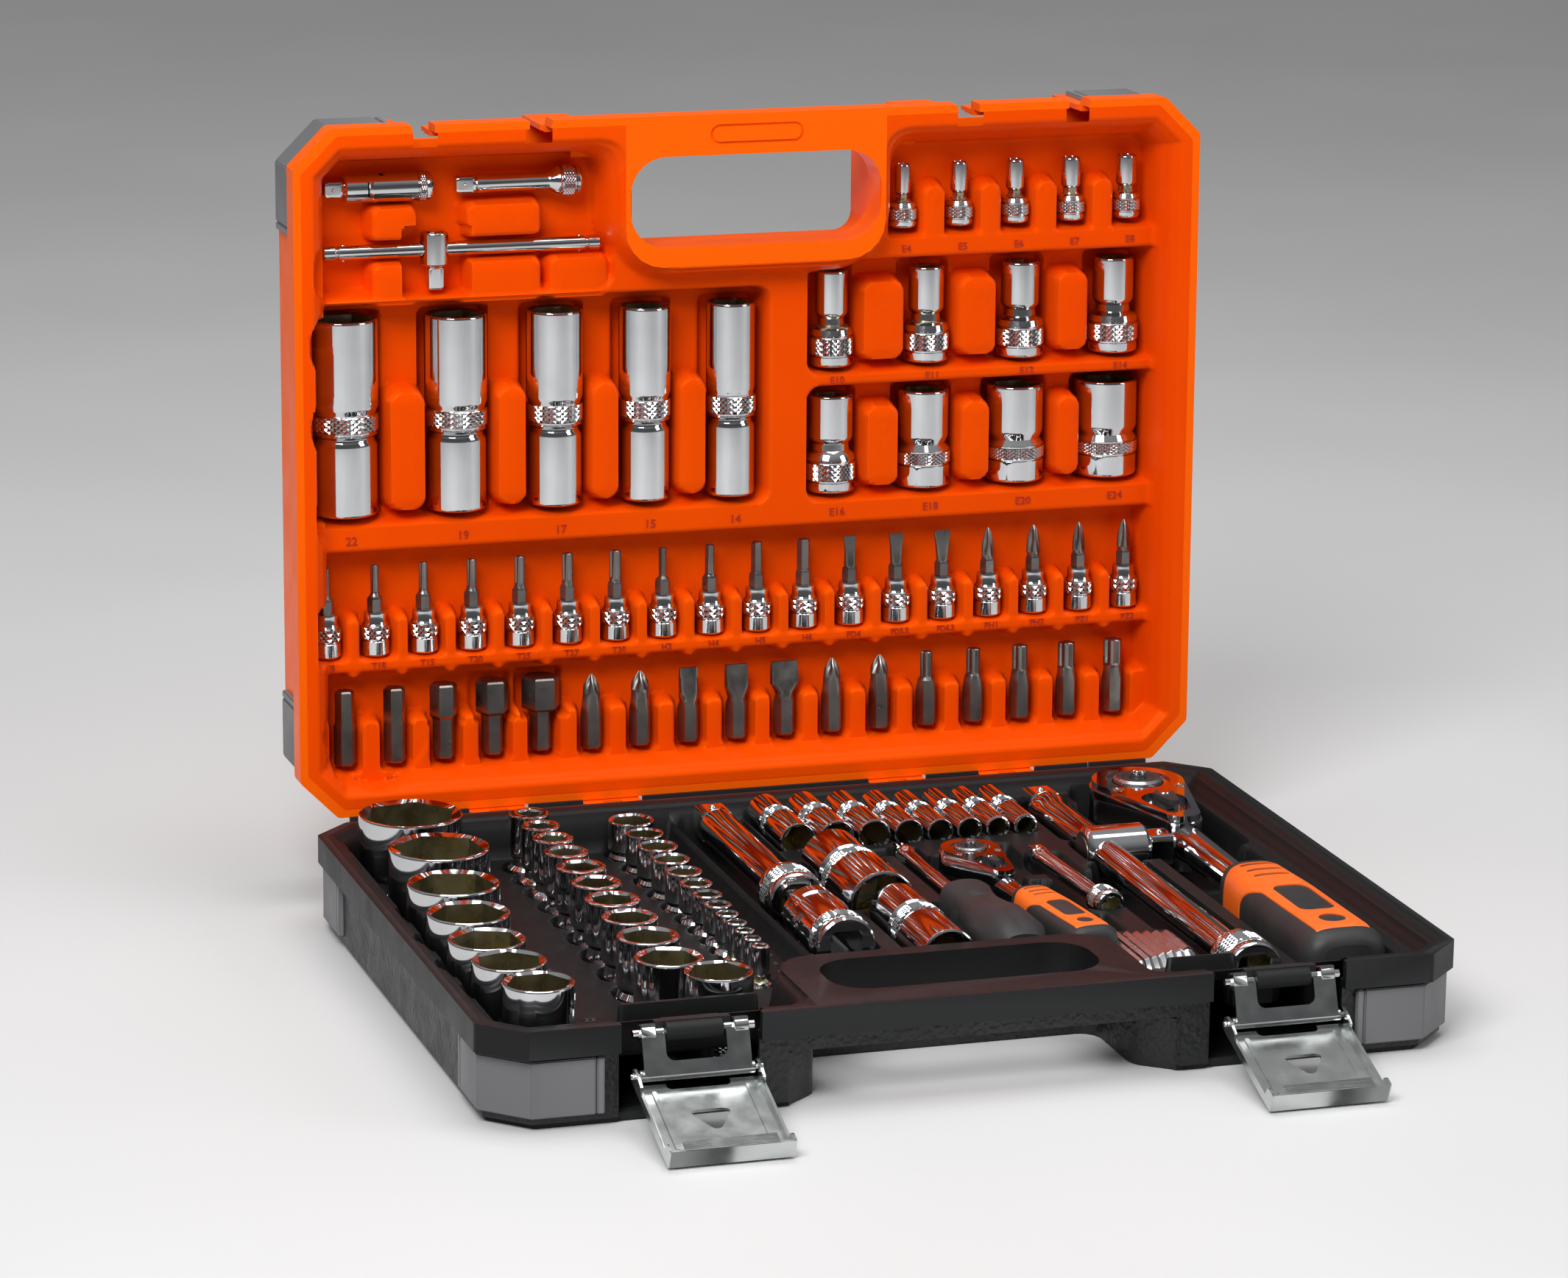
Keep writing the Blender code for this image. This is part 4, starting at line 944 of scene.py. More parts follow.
def socket_stations(length, mouth, foot, drive, opening, kind="hex", style="stepped"):
    """Foot at z 0 and mouth at z length: foot outside, knurl, neck, barrel, mouth and both holes."""
    barrel, base = mouth / 2, foot / 2
    floor = length * 0.42
    across = opening if kind == "hex" else opening * 0.5
    outer = [(0.0, base - 0.9), (0.5, base - 0.3), (1.2, base)]
    if style == "stepped":
        outer += [(length * 0.10, base)]
        outer += knurl_band(length * 0.12, length * 0.30, base)
        outer += [(length * 0.33, base), (length * 0.39, base - 0.7),
                  (length * 0.43, barrel - 1.3), (length * 0.50, barrel - 1.5),
                  (length * 0.54, barrel - 0.3), (length * 0.57, barrel)]
    elif style == "large":
        outer += [(length * 0.17, base), (length * 0.22, base + 0.2)]
        outer += knurl_band(length * 0.24, length * 0.36, base)
        outer += [(length * 0.38, base), (length * 0.44, barrel - 1.2),
                  (length * 0.50, barrel - 0.2), (length * 0.53, barrel)]
    else:
        outer += [(length * 0.36, base), (length * 0.385, base - 1.2),
                  (length * 0.40, base - 1.2), (length * 0.415, base + 0.2)]
        outer += knurl_band(length * 0.43, length * 0.52, base + 0.2)
        outer += [(length * 0.54, barrel - 0.5), (length * 0.56, barrel)]
    outer += [(length - 1.0, barrel), (length - 0.35, barrel - 0.25),
              (length, barrel - 0.9), (length, opening * 0.60, 0),
              (length - 0.9, kind, across, 0), (floor + 1.0, kind, across, 1),
              (floor, drive * 0.56, 1), (floor - 0.4, "square", drive, 1), (0.4, "square", drive, 1)]
    return outer


def add_socket(name, place, body, length, mouth, foot, drive, opening, replaces=(), kind="hex",
               style="stepped", steps=72):
    bm = loft(socket_stations(length, mouth, foot, drive, opening, kind, style), steps, closed=True)
    return piece(name, bm, ["chrome", "inside"], place, body, replaces, 32.0)


def node_box(node):
    low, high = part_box(node)
    return Vector(low) / MM, Vector(high) / MM


def large_sockets():
    for size, width, x, y, _ in LARGE:
        node = "socket_half_%d" % size
        low, high = node_box(node)
        place = BASE @ Matrix.Translation((x, y, low.z)) @ Matrix.Rotation(0.3 * size, 4, "Z")
        add_socket("socket_%dmm" % size, place, node, high.z - low.z, width, width - 0.6, HALF_DRIVE,
                   width * 0.79, [node], style="large")


def standing_rows():
    for size, width, y in zip(MID_SIZES, MID_ROW, MID_Y):
        place = BASE @ Matrix.Translation((MID_ROW_X, y, 7.0)) @ Matrix.Rotation(0.7 * size, 4, "Z")
        add_socket("half_socket_%dmm" % size, place, "base", 37.5, width, max(width, 18.6), HALF_DRIVE,
                   min(width * 0.79, size * 1.04), style="stepped" if width < 23.0 else "large")
    place = BASE @ Matrix.Translation((-94.0, -106.0, 7.0))
    add_socket("half_socket_20mm", place, "base", 37.5, 26.0, 25.6, HALF_DRIVE, 20.8, style="large")
    for text, width, y in zip(SMALL_SIZES, SMALL_ROW, SMALL_Y):
        size, narrow = float(text), width < 15.0
        place = BASE @ Matrix.Translation((SMALL_ROW_X, y, 12.0)) @ Matrix.Rotation(0.9 * size, 4, "Z")
        add_socket("quarter_socket_%smm" % text.replace(".", "_"), place, "base", 24.6, width,
                   max(width, 10.6) if narrow else width - 0.6, QUARTER_DRIVE,
                   min(width * 0.78, size * 1.05), style="stepped" if narrow else "large", steps=36)
    for size, width, x in zip(DEEP_SIZES, DEEP_ROW, DEEP_X):
        place = BASE @ aim((x, 128.0, HIGH_DECK + width * 0.2), (0.0, -1.0, 0.0))
        add_socket("quarter_deep_socket_%dmm" % size, place, "base", 48.0, width, max(width - 1.0, 10.2),
                   QUARTER_DRIVE, min(width * 0.78, size * 1.05), style="deep", steps=36)


def lid_sockets():
    for size, width, x in DEEP:
        place = LID @ aim((x, 121.0, DEEP_FRONT - width / 2), ALONG_V)
        node = "deep_socket_%d" % size
        add_socket("deep_socket_%dmm" % size, place, node, 80.0, width, max(width - 1.2, 20.0), HALF_DRIVE,
                   width * 0.78, [node], style="deep", steps=60)
    for size, x in zip((4, 5, 6, 7, 8), STAR_SMALL_X):
        place = LID @ aim((x, 229.0, TOOL_FRONT - 5.9), ALONG_V)
        grow = 0.5 * (size - 4)
        add_socket("star_socket_e%d" % size, place, "lid", 26.0, 6.6 + grow, 11.6, QUARTER_DRIVE, 4.2 + grow,
                   kind="star", steps=36)
    for i, (size, x) in enumerate(zip((10, 11, 12, 14), STAR_MID_X)):
        width = 18.0 + i
        place = LID @ aim((x, 172.3, TOOL_FRONT - width / 2), ALONG_V)
        add_socket("star_socket_e%d" % size, place, "lid", 39.5, 13.6 + 1.2 * i, width, HALF_DRIVE, 9.0 + i,
                   kind="star")
    for i, (size, x) in enumerate(zip((16, 18, 20, 24), STAR_BIG_X)):
        width = 21.0 + 2.0 * i
        place = LID @ aim((x, 119.4, TOOL_FRONT - width / 2), ALONG_V)
        add_socket("star_socket_e%d" % size, place, "lid", 40.4, width - 2.0 + i * 0.6, width, HALF_DRIVE,
                   13.5 + 2.2 * i, kind="star", style="stepped" if i < 1 else "large")


TIPS = ["torx"] * 7 + ["hex"] * 4 + ["blade"] * 3 + ["cross"] * 4
LONG_SIZES = [7.0, 8.0, 10.0, 12.0, 14.0, 6.0, 6.6, 8.0, 10.0, 12.0, 6.0, 6.6, 5.2, 5.9, 6.6, 7.3, 8.0]
LONG_TIPS = ["hex"] * 5 + ["cross"] * 2 + ["blade"] * 3 + ["cross"] * 2 + ["torx"] * 5


def tip_stations(kind, radius, start, end, shank):
    """Shank shoulder to working tip."""
    if kind == "torx":
        return [(start, shank), (start + 1.2, radius * 1.02), (start + 2.0, "torx", radius),
                (end - 0.4, "torx", radius), (end, "torx", radius * 0.86)]
    if kind == "hex":
        return [(start, shank), (start + 1.0, "hex", radius * 1.9), (end - 0.5, "hex", radius * 1.9),
                (end, "hex", radius * 1.6)]
    if kind == "blade":
        middle = (start + end) / 2
        return [(start, shank), (start + 1.5, "blade", shank, 0, shank * 0.8),
                (middle, "blade", radius * 1.1, 0, radius * 0.5),
                (end - 0.3, "blade", radius * 1.35, 0, radius * 0.22),
                (end, "blade", radius * 1.3, 0, radius * 0.16)]
    middle = start + (end - start) * 0.5
    return [(start, shank), (start + 1.5, radius * 1.15), (middle, "cross", radius * 1.1),
            (end - 2.0, "cross", radius * 0.65), (end, "cross", radius * 0.16)]


def bit_sockets():
    for i, (kind, x) in enumerate(zip(TIPS, BIT_SOCKET_X)):
        grow = {"torx": 0.16 * i, "hex": 0.35 * (i - 7), "blade": 0.3 * (i - 11),
                "cross": 0.3 * (i % 2)}[kind]
        radius = {"torx": 1.5, "hex": 1.5, "blade": 2.0, "cross": 2.3}[kind] + grow
        place = LID @ aim((x, 63.0, TOOL_FRONT - 5.9), ALONG_V)
        body = [(0.0, 5.0), (0.8, 5.8), (6.0, 5.8)]
        body += knurl_band(7.0, 12.0, 5.8, 4)
        body += [(12.6, 5.4), (14.0, 4.6), (17.0, 4.6), (18.0, 4.4),
                 (18.4, 3.0)]
        bm = loft(body, 36)
        add_loft(bm, [(18.0, "hex", 5.6, 1), (23.0, "hex", 5.6, 1), (24.0, "hex", 5.0, 1)]
                 + [s[:3] + (1,) + s[4:] for s in tip_stations(kind, radius, 24.2, 37.0, 2.4)], 36)
        piece("bit_socket_%02d" % (i + 1), bm, ["chrome", "bit"], place, "lid", smooth=32.0)


def bits():
    for i, (kind, size, x) in enumerate(zip(LONG_TIPS, LONG_SIZES, BIT_X)):
        drop = max(size - 8.0, 0.0) / 2 if kind == "hex" else 0.0
        place = LID @ aim((x, 18.0, TOOL_FRONT - 4.0 - drop), ALONG_V)
        stations = [(0.0, "hex", 6.8), (0.7, "hex", 8.0), (14.5, "hex", 8.0)]
        if kind == "hex":
            stations += [(16.5, "hex", 8.0), (18.0, "hex", size), (30.3, "hex", size),
                         (31.0, "hex", size - 1.2)]
        elif kind == "blade":
            stations += [(17.0, 3.6), (18.5, "blade", 4.0, 0, 3.4), (21.5, "blade", size / 2, 0, 2.8),
                         (27.0, "blade", size / 2, 0, 1.6), (31.0, "blade", size * 0.47, 0, 0.6)]
        else:
            stations += tip_stations(kind, size / 2, 19.0 if kind == "torx" else 22.0, 31.0, 3.6)
        piece("bit_%02d" % (i + 1), loft(stations, 36), ["bit"], place, "lid", smooth=30.0)


# ---------------------------------------------------------------- long tools

def square_tip(start, width, length=12.0):
    """A driving square with its neck and chamfered end."""
    return [(start, width * 0.62), (start + 0.6, width * 0.56), (start + 1.0, "square", width),
            (start + length - 1.4, "square", width), (start + length, "square", width * 0.82)]


def base_line(first, second, z):
    """Placement whose Z runs from the first point to the second, and the distance between them."""
    start, end = Vector((*first, z)), Vector((*second, z))
    return BASE @ aim(start, (end - start).normalized()), (end - start).length


def extension(node, place, length, bar, head, head_length, square, reach):
    """Head with a square hole and knurl at z 0, bar, tapered collar and driving square at the far end."""
    r = head
    outer = [(0.0, r - 0.9), (0.7, r - 0.2), (1.4, r), (head_length * 0.18, r)]
    outer += knurl_band(head_length * 0.24, head_length * 0.62, r, 8)
    outer += [(head_length * 0.72, r), (head_length * 0.80, r - 0.2),
              (head_length, bar + 0.4), (head_length + 1.5, bar)]
    collar = max(bar, square * 0.62)
    end = length - reach
    outer += [(end - collar * 1.6, bar), (end - collar * 0.9, collar), (end - 1.0, collar),
              (end - 0.2, collar - 0.8)]
    outer += square_tip(end, square, reach)
    outer += [(length, square * 0.2, 0)]
    hole = [(12.0 if square > 8 else 7.0, "square", square * 0.9, 1), (0.6, "square", square, 1),
            (0.0, square * 0.64, 0)]
    bm = loft([(11.9 if square > 8 else 6.9, "square", square * 0.3, 1)] + hole + outer, 48)
    ball(bm, (0.0, square * 0.5 - 0.3, length - reach * 0.45), square * 0.13)
    node_piece(node, bm, ["chrome", "inside"], place)


def ball(bm, centre, radius, slot=0):
    made = bmesh.ops.create_uvsphere(bm, u_segments=14, v_segments=8, radius=radius,
                                     matrix=Matrix.Translation(centre))
    for face in {f for v in made["verts"] for f in v.link_faces}:
        face.material_index = slot


def extensions():
    for node, first, second, z, bar, head, head_length, drive, reach in (
            ("extension_half_125", (-28.0, 5.0), (-28.0, 127.5), 32.5, 7.6, 11.6, 22.0, HALF_DRIVE, 14.0),
            ("extension_half_250", (112.6, -119.6), (112.6, 124.0), 30.5, 6.8, 11.4, 24.0, HALF_DRIVE, 14.0),
            ("extension_quarter_75", (88.8, -29.2), (85.2, 49.6), 31.6, 3.6, 6.2, 14.0, QUARTER_DRIVE, 7.6)):
        place, length = base_line(first, second, z)
        extension(node, place, length, bar, head, head_length, drive, reach)
    place = LID @ aim((-69.2, 254.0, -18.2), (-1.0, 0.0, 0.0))
    extension("extension_quarter_50", place, 51.8, 3.6, 6.0, 13.0, QUARTER_DRIVE, 7.6)


def spark_plug_sockets():
    for size, x, start, end, turn, mouth, foot, opening in ((21, 3.5, 61.5, -4.5, 0.3, 27.6, 25.6, 21.0),
                                                            (16, 6.6, -10.0, -75.0, 0.0, 22.0, 21.4, 16.6)):
        place, length = base_line((x, start), (x, end), 31.5)
        node = "spark_plug_socket_%d" % size
        place = place @ Matrix.Rotation(turn, 4, "Z")
        add_socket(node, place, node, length, mouth, foot, HALF_DRIVE, opening, [node],
                   style="deep", steps=60)


def tee_parts():
    place, length = base_line((104.8, 46.0), (131.5, 46.0), 30.5)
    outer = [(0.0, 8.6), (0.8, 9.8), (2.0, 10.6), (length - 2.0, 10.6),
             (length - 0.6, 9.6)] + square_tip(length, HALF_DRIVE, 11.5)
    bm = loft(outer, 48)
    add_loft(bm, [(-0.2, 6.6, 1), (0.2, 6.4, 1)], 36)
    ball(bm, (0.0, 6.1, length + 6.0), 1.6)
    node_piece("tee_head_half", bm, ["chrome", "inside"], place, 32.0)

    place = LID @ aim((-176.0, 228.2, -18.2), (1.0, 0.0, 0.0))
    bar = [(0.0, 2.2), (0.7, 3.0), (5.0, 3.0), (5.3, 2.5), (6.3, 2.5),
           (6.6, 3.0), (108.4, 3.0), (108.7, 2.5), (109.7, 2.5),
           (110.0, 3.0), (114.3, 3.0), (115.0, 2.2)]
    bm = loft(bar, 30)
    for z in (8.6, 106.4):
        for x in (2.8, -2.8):
            ball(bm, (x, 0.0, z), 0.9)
    node_piece("tee_bar_quarter", bm, ["chrome"], place, 32.0)

    # The sliding head: a barrel bored across for the bar.
    place = LID @ aim((-129.8, 236.0, -18.2), (0.0, -1.0, 0.0))
    outer = [(0.0, 4.2), (0.8, 5.4), (1.4, 5.7), (13.4, 5.7), (14.2, 4.9)]
    head = loft(outer + square_tip(14.5, QUARTER_DRIVE, 9.5), 40)
    bm = carve(head, [], [rod([(-9.0, 3.35), (9.0, 3.35)], 40, (0.0, 0.0, 7.8))], 0.0)
    node_piece("tee_head_quarter", bm, ["chrome"], place, 32.0)


def cut_fork(stations, radius, jaw, z0, z1, turn):
    """A turned joint half whose middle is milled away to leave two ears."""
    gap = prism(rectangle(-jaw, jaw, -radius * 1.4, radius * 1.4), z0, z1)
    gap.transform(Matrix.Rotation(turn, 4, "Z"))
    return carve(loft(stations, 48), [], [gap], 0.0)


def universal_joint(name, place, length, radius, square, reach, middle):
    """Two forks on a cross: the socket end at z 0 and the driving square at the far end."""
    r, jaw = radius, radius * 0.5
    back = [(0.0, r - 0.9), (0.8, r - 0.1), (1.4, r)]
    back += knurl_band(r * 0.45, r * 0.9, r, 6)
    back += [(r * 1.05, r), (middle + r * 0.2, r), (middle + r * 0.48, r * 0.8),
             (middle + r * 0.56, r * 0.45)]
    item = cut_fork(back, r, jaw, middle - r * 0.62, middle + r, math.pi / 2)
    hole = loft([(-1.0, "square", square), (middle - r * 0.9, "square", square)], 48)
    item = carve(item, [], [hole], 0.0)
    node_piece(name + "_socket_fork", item, ["chrome"], place)

    end = length - reach
    front = [(middle - r * 0.56, r * 0.45), (middle - r * 0.48, r * 0.8),
             (middle - r * 0.2, r * 0.97), (end - 1.0, r * 0.97), (end - 0.2, r * 0.86)]
    item = cut_fork(front + square_tip(end, square, reach), r, jaw, middle - r, middle + r * 0.62, 0.0)
    ball(item, (0.0, square * 0.5 - 0.3, length - reach * 0.45), square * 0.13)
    node_piece(name + "_drive_fork", item, ["chrome"], place, body=name)

    cross = bmesh.new()
    for turn, out in ((0.0, r * 0.96), (math.pi / 2, r * 0.93)):
        pin = Matrix.Translation((0, 0, middle)) @ Matrix.Rotation(turn, 4, "Z") @ QUARTER_Y
        add_loft(cross, eased(out, r * 0.3, r * 0.05), 24, move=pin)
    add_loft(cross, [(middle - r * 0.36, "square", r * 0.8), (middle + r * 0.36, "square", r * 0.8)], 32)
    node_piece(name + "_cross", cross, ["satin"], place)


def universal_joints():
    place, length = base_line((-28.0, -56.0), (-28.0, 3.2), 32.5)
    universal_joint("universal_joint_half", place, length, 11.8, HALF_DRIVE, 13.0, 31.38)
    place = LID @ aim((-131.0, 254.0, -18.4), (-1.0, 0.0, 0.0))
    universal_joint("universal_joint_quarter", place, 44.0, 6.0, QUARTER_DRIVE, 7.6, 23.32)


def spinner():
    place, _ = base_line((36.0, -5.0), (36.0, -76.0), 30.0)
    profile = [(0.0, 8.4), (1.5, 10.2), (6.0, 10.6), (13.0, 9.6), (20.0, 9.4), (32.0, 10.6),
               (44.0, 12.8), (54.0, 13.4), (62.0, 12.4), (68.0, 10.2), (71.0, 8.5)]
    rows, steps = [], 72
    bm = bmesh.new()
    for z, r in profile:
        ring = []
        for i in range(steps):
            t = 2 * math.pi * i / steps
            squared = r / (abs(math.cos(t)) ** 5 + abs(math.sin(t)) ** 5) ** 0.2
            flute = 0.5 * max(0.0, math.cos(4 * t)) ** 6 if 22.0 < z < 66.0 else 0.0
            reach = min(r * 0.45 + squared * 0.55, 13.6) - flute
            ring.append(bm.verts.new((reach * math.cos(t), reach * math.sin(t), z)))
        rows.append(ring)
    join_rings(bm, rows)
    for z in (14.5, 17.0, 19.5):
        add_loft(bm, [(z, 9.3, 0), (z + 0.5, 9.9, 0), (z + 1.1, 9.3, 0)], 40)
    add_loft(bm, [(70.6, 6.8, 1), (71.1, 6.6, 1), (71.1, 5.2, 1), (70.9, "square", 6.4, 2),
                  (70.8, "square", 6.0, 2)], 40)
    node_piece("spinner_grip", bm, ["grip_black", "chrome", "inside"], place, 40.0, "spinner_handle")
    place, length = base_line((36.0, -5.3), (36.0, 72.5), 30.0)
    stations = [(0.0, 3.4), (8.0, 3.4), (62.0, 3.4), (66.0, 4.2),
                (length - 8.0, 4.3)] + square_tip(length - 7.6, QUARTER_DRIVE, 7.6)
    bm = loft(stations, 36)
    ball(bm, (0.0, 2.9, length - 3.6), 0.8)
    node_piece("spinner_shank", bm, ["chrome"], place, body="spinner_handle")


# ---------------------------------------------------------------- ratchets

def rounded_bar(length, wide, high, squeeze, ends=5.0, steps=48, rows=28):
    """A moulded grip along Z: a rounded rectangle whose width follows squeeze(t), t running 0 to 1."""
    bm = bmesh.new()
    rings = []
    for k in range(rows + 1):
        t = k / rows
        z = length * (0.5 - 0.5 * math.cos(math.pi * t))
        near = min(z, length - z)
        shrink = math.sqrt(max(0.0, 1.0 - (1.0 - min(near / ends, 1.0)) ** 2)) if near < ends else 1.0
        half_w = wide / 2 * squeeze(z / length) * (0.62 + 0.38 * shrink)
        half_h = high / 2 * (0.9 + 0.1 * squeeze(z / length)) * (0.62 + 0.38 * shrink)
        ring = []
        for i in range(steps):
            a = 2 * math.pi * i / steps
            c, s = math.cos(a), math.sin(a)
            ring.append(bm.verts.new((half_w * math.copysign(abs(c) ** 0.62, c),
                                      half_h * math.copysign(abs(s) ** 0.62, s), z)))
        rings.append(ring)
    return join_rings(bm, rings)


def teardrop(r, tail, small, inset=0.0, steps=40):
    """Outline round a head of radius r at the origin, narrowing to a small end at -tail on Y."""
    points = []
    swing = math.acos((r - small) / tail)
    a0, a1 = -math.pi / 2 + swing, 1.5 * math.pi - swing
    for i in range(steps + 1):
        a = a0 + (a1 - a0) * i / steps
        points.append(((r - inset) * math.cos(a), (r - inset) * math.sin(a)))
    for i in range(13):
        a = a1 + (2 * swing) * i / 12
        points.append(((small - inset) * math.cos(a), (small - inset) * math.sin(a) - tail))
    return points


def ratchet(prefix, scale, head, end, grip_back, top, drive, thickness):
    """Head frame: origin at the head's middle on the cover side, Y pointing away from the grip."""
    s = scale
    start, stop = Vector((*head, top)), Vector((*end, top))
    axis = (start - stop).normalized()
    x_axis = axis.cross(Vector((0.0, 0.0, 1.0)))
    frame_matrix = Matrix((x_axis, axis, Vector((0, 0, 1)))).transposed().to_4x4()
    frame_matrix.translation = start
    place = BASE @ frame_matrix
    t = thickness
    reach = (start - stop).length
    grip_at = (head[1] - grip_back) / abs(axis.y)

    # Head with a stepped cover, lever window and bored chamber.
    outline = teardrop(20.0 * s, 50.0 * s, 8.5 * s)
    upper = prism(teardrop(20.0 * s, 50.0 * s, 8.5 * s, 0.9 * s), -3.4 * s, 0.0)
    neck_z = -t * 0.5
    neck = loft([(50.0 * s - 12.0 * s, 7.8 * s), (50.0 * s + 4.0 * s, 7.4 * s),
                 (grip_at - 8.0 * s, 6.4 * s), (grip_at + 6.0 * s, 6.4 * s), (reach - 12.0 * s, 4.4 * s)], 40)
    neck.transform(Matrix.Translation((0.0, 0.0, neck_z)) @ QUARTER_X)
    chamber, mouth, ring = (-t - 1.0, -4.5 * s, 12.6), (-5.0 * s, 1.0, 10.7), (-0.9 * s, 1.0, 13.4)
    holes = [loft([(low, radius * s), (high, radius * s)], 48)
             for low, high, radius in (chamber, mouth, ring)]
    window = prism(teardrop(9.2 * s, 12.5 * s, 6.4 * s), -4.0 * s, 1.0)
    window.transform(Matrix.Translation((0.0, -30.0 * s, 0.0)))
    item = carve(prism(outline, -t, -3.0 * s), [upper, neck], holes + [window], 0.7 * s)
    for x in (-13.6 * s, 13.6 * s):
        screw(item, x, -12.5 * s, 0.0, 2.5 * s)
    node_piece(prefix + "_body", item, ["chrome", "inside"], place, body=prefix)

    # Drive: hub ring seen from the cover side, and the square below with its ball.
    hub = [(-t + 0.25, 7.2 * s), (-t + 0.25, 12.2 * s), (-5.2 * s, 12.2 * s),
           (-5.2 * s, 10.2 * s), (0.4 * s, 10.2 * s), (1.4 * s, 9.2 * s),
           (1.4 * s, 6.6 * s, 1), (0.8 * s, 6.0 * s, 1), (0.8 * s, 3.6 * s, 1),
           (-10.4 * s, 3.6 * s, 1), (-10.4 * s, 0.3, 1)]
    bm = loft(hub, 48)
    add_loft(bm, [(-t - drive * 0.9, "square", drive * 0.84), (-t - drive * 0.8, "square", drive),
                  (-t + 0.3, "square", drive)], 48)
    ball(bm, (drive * 0.5 - 0.3, 0.0, -t - drive * 0.48), drive * 0.13)
    node_piece(prefix + "_drive", bm, ["satin", "grip_black"], place)

    b = 3.2 * s
    bm = loft([(-6.6 * s, b), (3.2 * s, b), (4.0 * s, b * 0.88),
               (4.4 * s, b * 0.6)], 32)
    node_piece(prefix + "_button", bm, ["chrome"], place)

    # Switch: a disc with a pointed thumb lever.
    lever = Matrix.Translation((0.0, -30.0 * s, 0.0))
    bm = prism(teardrop(4.3 * s, 10.0 * s, 2.4 * s), 0.5, 2.6 * s, lever)
    add_loft(bm, [(-3.6 * s, 4.3 * s), (0.6, 4.3 * s)], 32, move=lever)
    add_loft(bm, [(2.5 * s, 2.6 * s, 1), (3.1 * s, 2.3 * s, 1)], 24, move=lever)
    node_piece(prefix + "_switch", bm, ["grip_black", "chrome"], place)

    # Grip: black core in an orange shell with slits, open sides, a window and a round hole.
    length = reach - grip_at
    grip_frame = place @ Matrix.Translation((0.0, -grip_at, neck_z - 1.5 * s)) @ QUARTER_X
    hollow = loft([(-1.0, 6.8 * s), (10.0 * s, 6.8 * s)], 32)
    black = carve(rounded_bar(length, 33.4 * s, 28.4 * s, swell, 7.0 * s), [], [hollow], 0.0)
    node_piece(prefix + "_grip", black, ["grip_black"], grip_frame, 40.0, prefix)
    shell = rounded_bar(length * 0.95, 34.0 * s, 29.4 * s, lambda u: swell(u * 0.95 + 0.03), 8.0 * s)
    shell.transform(Matrix.Translation((0.0, 0.0, length * 0.03)))
    cuts = [prism(rectangle(-40.0, 40.0, -3.4 * s, 3.4 * s), length * 0.34, length + 10.0)]
    openings = [prism(rectangle(-7.5 * s, 7.5 * s, z, z + 2.4 * s, 1.0 * s, 4), -40.0, 40.0)
                for z in (length * (0.10 + 0.07 * k) for k in range(3))]
    for x in (-1, 1):
        side = [(x * 40.0, length * 0.27), (x * 15.0 * s, length * 0.28), (x * 11.2 * s, length * 0.42),
                (x * 10.8 * s, length * 1.1), (x * 40.0, length * 1.1)]
        openings.append(prism(side, -40.0, 40.0))
    window = rectangle(-7.2 * s, 7.2 * s, length * 0.40, length * 0.72, 4.4 * s, 6)
    openings.append(prism(window, -40.0, 40.0))
    openings.append(loft([(-40.0, 5.2 * s), (40.0, 5.2 * s)], 32))
    openings[-1].transform(Matrix.Translation((0.0, length * 0.83, 0.0)))
    for opening in openings:
        bmesh.ops.recalc_face_normals(opening, faces=opening.faces)
        opening.transform(QUARTER_X)
    shell = carve(shell, [], cuts + openings, 0.0)
    piece(prefix + "_grip_shell", shell, ["grip_orange"], grip_frame, prefix, smooth=40.0)


def swell(u):
    """How wide a ratchet's grip is at a share of its length."""
    return 0.80 + 0.20 * math.sin(math.pi * min(u * 1.25, 1.0) * 0.5) ** 2 - 0.03 * math.cos(9.0 * u)


def screw(bm, x, y, z, radius):
    """A flush countersunk screw head with a cross recess."""
    move = Matrix.Translation((x, y, z))
    add_loft(bm, [(-0.3, radius, 0), (0.18, radius * 0.98, 0), (0.3, radius * 0.85, 0),
                  (0.3, "cross", radius * 0.5, 1), (-0.1, "cross", radius * 0.4, 1)], 32, move=move)


def ratchets():
    ratchet("ratchet_half", 1.0, (152.0, 108.0), (152.0, -117.0), -12.0, 41.0, HALF_DRIVE, 23.0)
    ratchet("ratchet_quarter", 0.62, (55.5, 42.0), (65.5, -76.0), -12.0, 38.0, QUARTER_DRIVE, 14.5)


# ---------------------------------------------------------------- latches and pins

LINK_AXIS = (-141.5, 34.6)
LEVER_AXIS = (-146.6, 20.2)
LEVER_REST = math.radians(109.5)
LINK_PLATE = (1.6, 2.8)
SIDEWAYS = Matrix(((0, 0, 1, 0), (1, 0, 0, 0), (0, 1, 0, 0), (0, 0, 0, 1)))


def row_frame(along, outward, origin):
    """X across, Y along and Z outward at an origin in the base."""
    matrix = Matrix((Vector(ACROSS), along, outward)).transposed().to_4x4()
    matrix.translation = origin
    return BASE @ matrix


